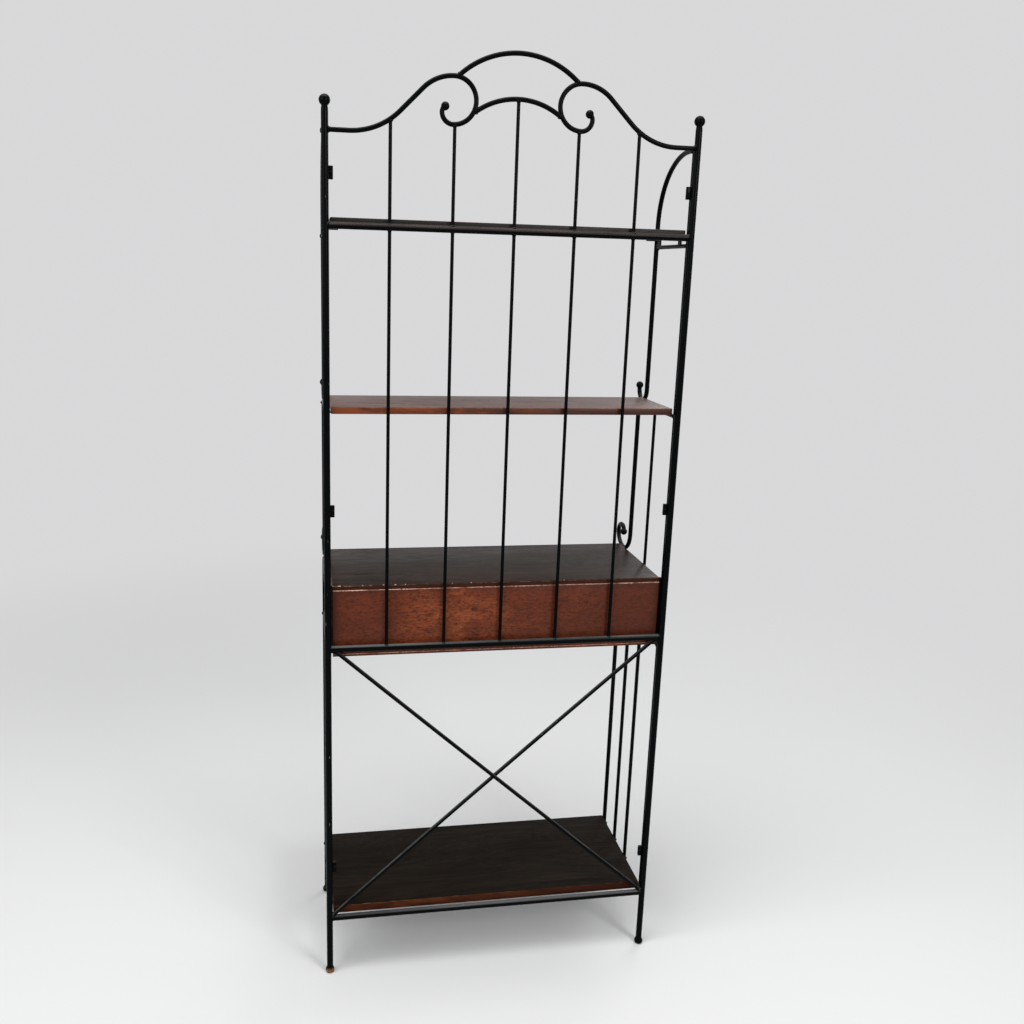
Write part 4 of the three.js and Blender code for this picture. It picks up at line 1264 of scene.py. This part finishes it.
def add_drawers(boards):
    """Each drawer's front with its stepped bevel, the finish of its tray, and its knob"""
    bevel = boards.front_bevel
    for side_name, _ in SIDES:
        node = f"drawer_front_{side_name}"
        low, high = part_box(node)
        mesh = bmesh.new()
        rings = []
        for y, inset in ((high.y, 0.0), (low.y + bevel, 0.0), (low.y + bevel * 0.45, bevel * 0.12),
                         (low.y + bevel * 0.12, bevel * 0.45), (low.y, bevel)):
            x1, x2, z1, z2 = low.x + inset, high.x - inset, low.z + inset, high.z - inset
            rings.append([mesh.verts.new((x, y, z)) for x, z in ((x1, z1), (x2, z1), (x2, z2), (x1, z2))])
        for first, second in zip(rings, rings[1:]):
            join_rings(mesh, first, second)
        mesh.faces.new(rings[0])
        mesh.faces.new(rings[-1])
        bmesh.ops.recalc_face_normals(mesh, faces=mesh.faces)
        piece = plain_piece(f"{node}_finished", mesh, finish[f"front_{side_name}"])
        seat(piece, f"drawer_{side_name}", "red_board", node)
        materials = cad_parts[f"drawer_tray_{side_name}"].data.materials
        materials.clear()
        materials.append(finish["raw"])
        add_knob(side_name)


def add_knob(side_name):
    """A turned knob: base plate, neck and round head"""
    node = f"drawer_knob_{side_name}"
    low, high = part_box(node)
    centre = (low + high) / 2
    reach, cap = high.y - low.y, (high.x - low.x) / 2
    profile = [(0.0, 0.62 * cap), (0.0003, 0.64 * cap), (0.0022, 0.64 * cap), (0.0030, 0.50 * cap),
               (0.0042, 0.43 * cap), (reach * 0.30, 0.42 * cap), (reach * 0.38, 0.50 * cap)]
    steps = 16
    half = reach * 0.30
    for i in range(steps + 1):
        turn = math.pi * (0.12 + 0.88 * i / steps)
        profile.append((reach - half - half * math.cos(turn), max(cap * math.sin(turn) ** 0.8, 0.0003)))
    points = [Vector((centre.x, high.y - along, centre.z)) for along, _ in profile]
    make_bar(node, points, [r for _, r in profile], sides=32, body=f"drawer_{side_name}")


# Stage


def view_axes(stage):
    """Right, up and back of the camera"""
    cy, sy = math.cos(stage.yaw), math.sin(stage.yaw)
    cp, sp = math.cos(stage.pitch), math.sin(stage.pitch)
    cr, sr = math.cos(stage.roll), math.sin(stage.roll)
    right, down, ahead = Vector((-cy, sy, 0)), DOWN, Vector((-sy, -cy, 0))
    down, ahead = cp * down - sp * ahead, sp * down + cp * ahead
    right, down = cr * right - sr * down, sr * right + cr * down
    return right, -down, -ahead


def add_camera(stage):
    """The camera at the photograph's viewing angle"""
    camera = link(bpy.data.objects.new("camera", bpy.data.cameras.new("camera")))
    turn = Matrix(view_axes(stage)).transposed().to_4x4()
    place = Vector(stage.camera_place) + Vector((0, GRILLE_Y, 0))
    camera.matrix_world = Matrix.Translation(place) @ turn
    camera.data.sensor_width = 36
    camera.data.lens = stage.lens
    camera.data.shift_x, camera.data.shift_y = stage.shift
    camera.data.clip_end = 50
    bpy.context.scene.camera = camera


def add_lamps(stage):
    """Four soft lamps, each with its place, its size and its power, turned to the middle of the rack"""
    target = Vector((0, 0, 0.9))
    for name, place, size, power in (
        ("key", (2.9, 1.9, 2.6), (2.8, 2.8), stage.key),
        ("side", (-1.55, 2.75, 2.2), (0.9, 0.9), stage.side),
        ("fill", (-2.6, -2.6, 2.4), (1.8, 1.8), stage.fill),
        ("overhead", (0.3, 0.7, 3.7), (2.8, 0.7), stage.top),
    ):
        lamp = bpy.data.lights.new(name, "AREA")
        lamp.shape = "RECTANGLE"
        lamp.size, lamp.size_y = size
        lamp.energy = power
        holder = link(bpy.data.objects.new(name, lamp))
        holder.location = place
        holder.rotation_euler = (Vector(place) - target).to_track_quat("Z", "Y").to_euler()


def seen_directly(n):
    """Mask of the rays that show the ground as it looks: camera, glossy and transmission"""
    path = n.add("ShaderNodeLightPath").outputs
    return n.larger(path["Is Camera Ray"], n.larger(path["Is Glossy Ray"], path["Is Transmission Ray"]))


def add_floor(stage, finishes):
    """A pale floor that turns into the backdrop's colour away from the rack"""
    mesh = bmesh.new()
    bmesh.ops.create_grid(mesh, x_segments=1, y_segments=1, size=30.0)
    material, n, place, shader = new_material("floor_paint")
    shader["Base Color"].default_value = rgba(finishes.floor)
    shader["Roughness"].default_value = 0.65
    shader["Specular IOR Level"].default_value = 0.2
    glow = n.add("ShaderNodeEmission", {
        "Color": rgba(finishes.backdrop), "Strength": n.fit(seen_directly(n), 0.0, 1.0, stage.sky, 1.0),
    })
    away = n.vectors("LENGTH", {0: place}, "Value")
    paint = shader["Base Color"].node.outputs[0]
    mixed = n.add("ShaderNodeMixShader", {
        0: n.fit(away, 0.9, 3.4, smooth=True), 1: paint, 2: glow.outputs[0],
    })
    n.put(n.tree.get_output_node("ALL").inputs["Surface"], mixed.outputs[0])
    plain_piece("floor", mesh, material)


def add_sky(stage, finishes):
    """Plain light from all around, and the backdrop's colour where the sky is seen"""
    world = bpy.data.worlds.new("sky")
    bpy.context.scene.world = world
    world.use_nodes = True
    world.node_tree.nodes.clear()
    n = Nodes(world.node_tree)
    plain = n.add("ShaderNodeBackground", {"Color": (1, 1, 1, 1), "Strength": stage.sky})
    shown = n.add("ShaderNodeBackground", {"Color": rgba(finishes.backdrop), "Strength": 1.0})
    mixed = n.add("ShaderNodeMixShader", {0: seen_directly(n), 1: plain.outputs[0], 2: shown.outputs[0]})
    n.add("ShaderNodeOutputWorld", {"Surface": mixed.outputs[0]})


# Operators and panel


class RackOperator:
    bl_options = {"REGISTER", "UNDO"}


class RACK_OT_finishes(RackOperator, bpy.types.Operator):
    """Makes the paint and wood materials"""

    bl_idname = "rack.finishes"
    bl_label = "Paint and wood"

    def execute(self, context):
        make_finishes()
        return {"FINISHED"}


class RACK_OT_back_frame(RackOperator, bpy.types.Operator):
    """Makes the posts, rails, grille bars and braces"""

    bl_idname = "rack.back_frame"
    bl_label = "Back frame"

    def execute(self, context):
        bars, bends, *_ = settings()
        add_posts(bars)
        add_grille(bars)
        add_braces(bars, bends)
        return {"FINISHED"}


class RACK_OT_arched_top(RackOperator, bpy.types.Operator):
    """Makes the scroll arches, the crown arch and the inner arch"""

    bl_idname = "rack.arched_top"
    bl_label = "Arched top"

    def execute(self, context):
        bars, bends, *_ = settings()
        add_arched_top(bars, bends)
        return {"FINISHED"}


class RACK_OT_side_frames(RackOperator, bpy.types.Operator):
    """Makes the side frames with their scrolls, legs, rails and ledges"""

    bl_idname = "rack.side_frames"
    bl_label = "Side frames"

    def execute(self, context):
        bars, bends, *_ = settings()
        for side_name, side in SIDES:
            add_side_frame(side_name, side, bars, bends)
        return {"FINISHED"}


class RACK_OT_clips(RackOperator, bpy.types.Operator):
    """Makes the clips between posts and side frames, with their rivets"""

    bl_idname = "rack.clips"
    bl_label = "Clips"

    def execute(self, context):
        bars, _, boards, *_ = settings()
        add_clips(bars, boards)
        return {"FINISHED"}


class RACK_OT_welds(RackOperator, bpy.types.Operator):
    """Makes the welds where bars meet"""

    bl_idname = "rack.welds"
    bl_label = "Welds"

    def execute(self, context):
        scatter("weld_beads", weld_spots, weld_part(), 0.0006)
        return {"FINISHED"}


class RACK_OT_shelves(RackOperator, bpy.types.Operator):
    """Makes the three shelves"""

    bl_idname = "rack.shelves"
    bl_label = "Shelves"

    def execute(self, context):
        add_shelves(settings()[2])
        return {"FINISHED"}


class RACK_OT_case(RackOperator, bpy.types.Operator):
    """Makes the boards of the drawer case and the strips beside it"""

    bl_idname = "rack.case"
    bl_label = "Drawer case"

    def execute(self, context):
        bars, _, boards, *_ = settings()
        add_case(boards)
        add_spacers(bars, boards)
        return {"FINISHED"}


class RACK_OT_drawers(RackOperator, bpy.types.Operator):
    """Makes the drawer fronts, trays and knobs"""

    bl_idname = "rack.drawers"
    bl_label = "Drawers"

    def execute(self, context):
        add_drawers(settings()[2])
        return {"FINISHED"}


class RACK_OT_stage(RackOperator, bpy.types.Operator):
    """Makes the floor, the lamps, the sky and the camera"""

    bl_idname = "rack.stage"
    bl_label = "Stage"

    def execute(self, context):
        *_, finishes, stage = settings()
        add_camera(stage)
        add_floor(stage, finishes)
        add_sky(stage, finishes)
        add_lamps(stage)
        bpy.context.scene.view_settings.view_transform = "Standard"
        return {"FINISHED"}


class RACK_PT_panel(bpy.types.Panel):
    """Lists the steps that make the rack"""

    bl_idname = "RACK_PT_panel"
    bl_label = "Bakers rack"
    bl_space_type = "VIEW_3D"
    bl_region_type = "UI"
    bl_category = "Rack"

    def draw(self, context):
        for step in STEPS:
            self.layout.operator(step.bl_idname)
        for group in GROUPS:
            box = self.layout.box()
            values = getattr(context.scene, group)
            for name in values.__annotations__:
                box.prop(values, name)


GROUPS = {
    "rack_bars": RackBarSizes,
    "rack_bends": RackBends,
    "rack_boards": RackBoards,
    "rack_finishes": RackFinishes,
    "rack_stage": RackStage,
}
STEPS = (
    RACK_OT_finishes, RACK_OT_back_frame, RACK_OT_arched_top, RACK_OT_side_frames, RACK_OT_clips,
    RACK_OT_welds, RACK_OT_shelves, RACK_OT_case, RACK_OT_drawers, RACK_OT_stage,
)


def register():
    for kind in (*GROUPS.values(), *STEPS, RACK_PT_panel):
        bpy.utils.register_class(kind)
    for name, kind in GROUPS.items():
        setattr(bpy.types.Scene, name, bpy.props.PointerProperty(type=kind))


def unregister():
    for name in GROUPS:
        delattr(bpy.types.Scene, name)
    for kind in (RACK_PT_panel, *reversed(STEPS), *reversed(tuple(GROUPS.values()))):
        bpy.utils.unregister_class(kind)


def main():
    register()
    for step in STEPS:
        area, name = step.bl_idname.split(".")
        getattr(getattr(bpy.ops, area), name)()


if __name__ == "__main__":
    main()
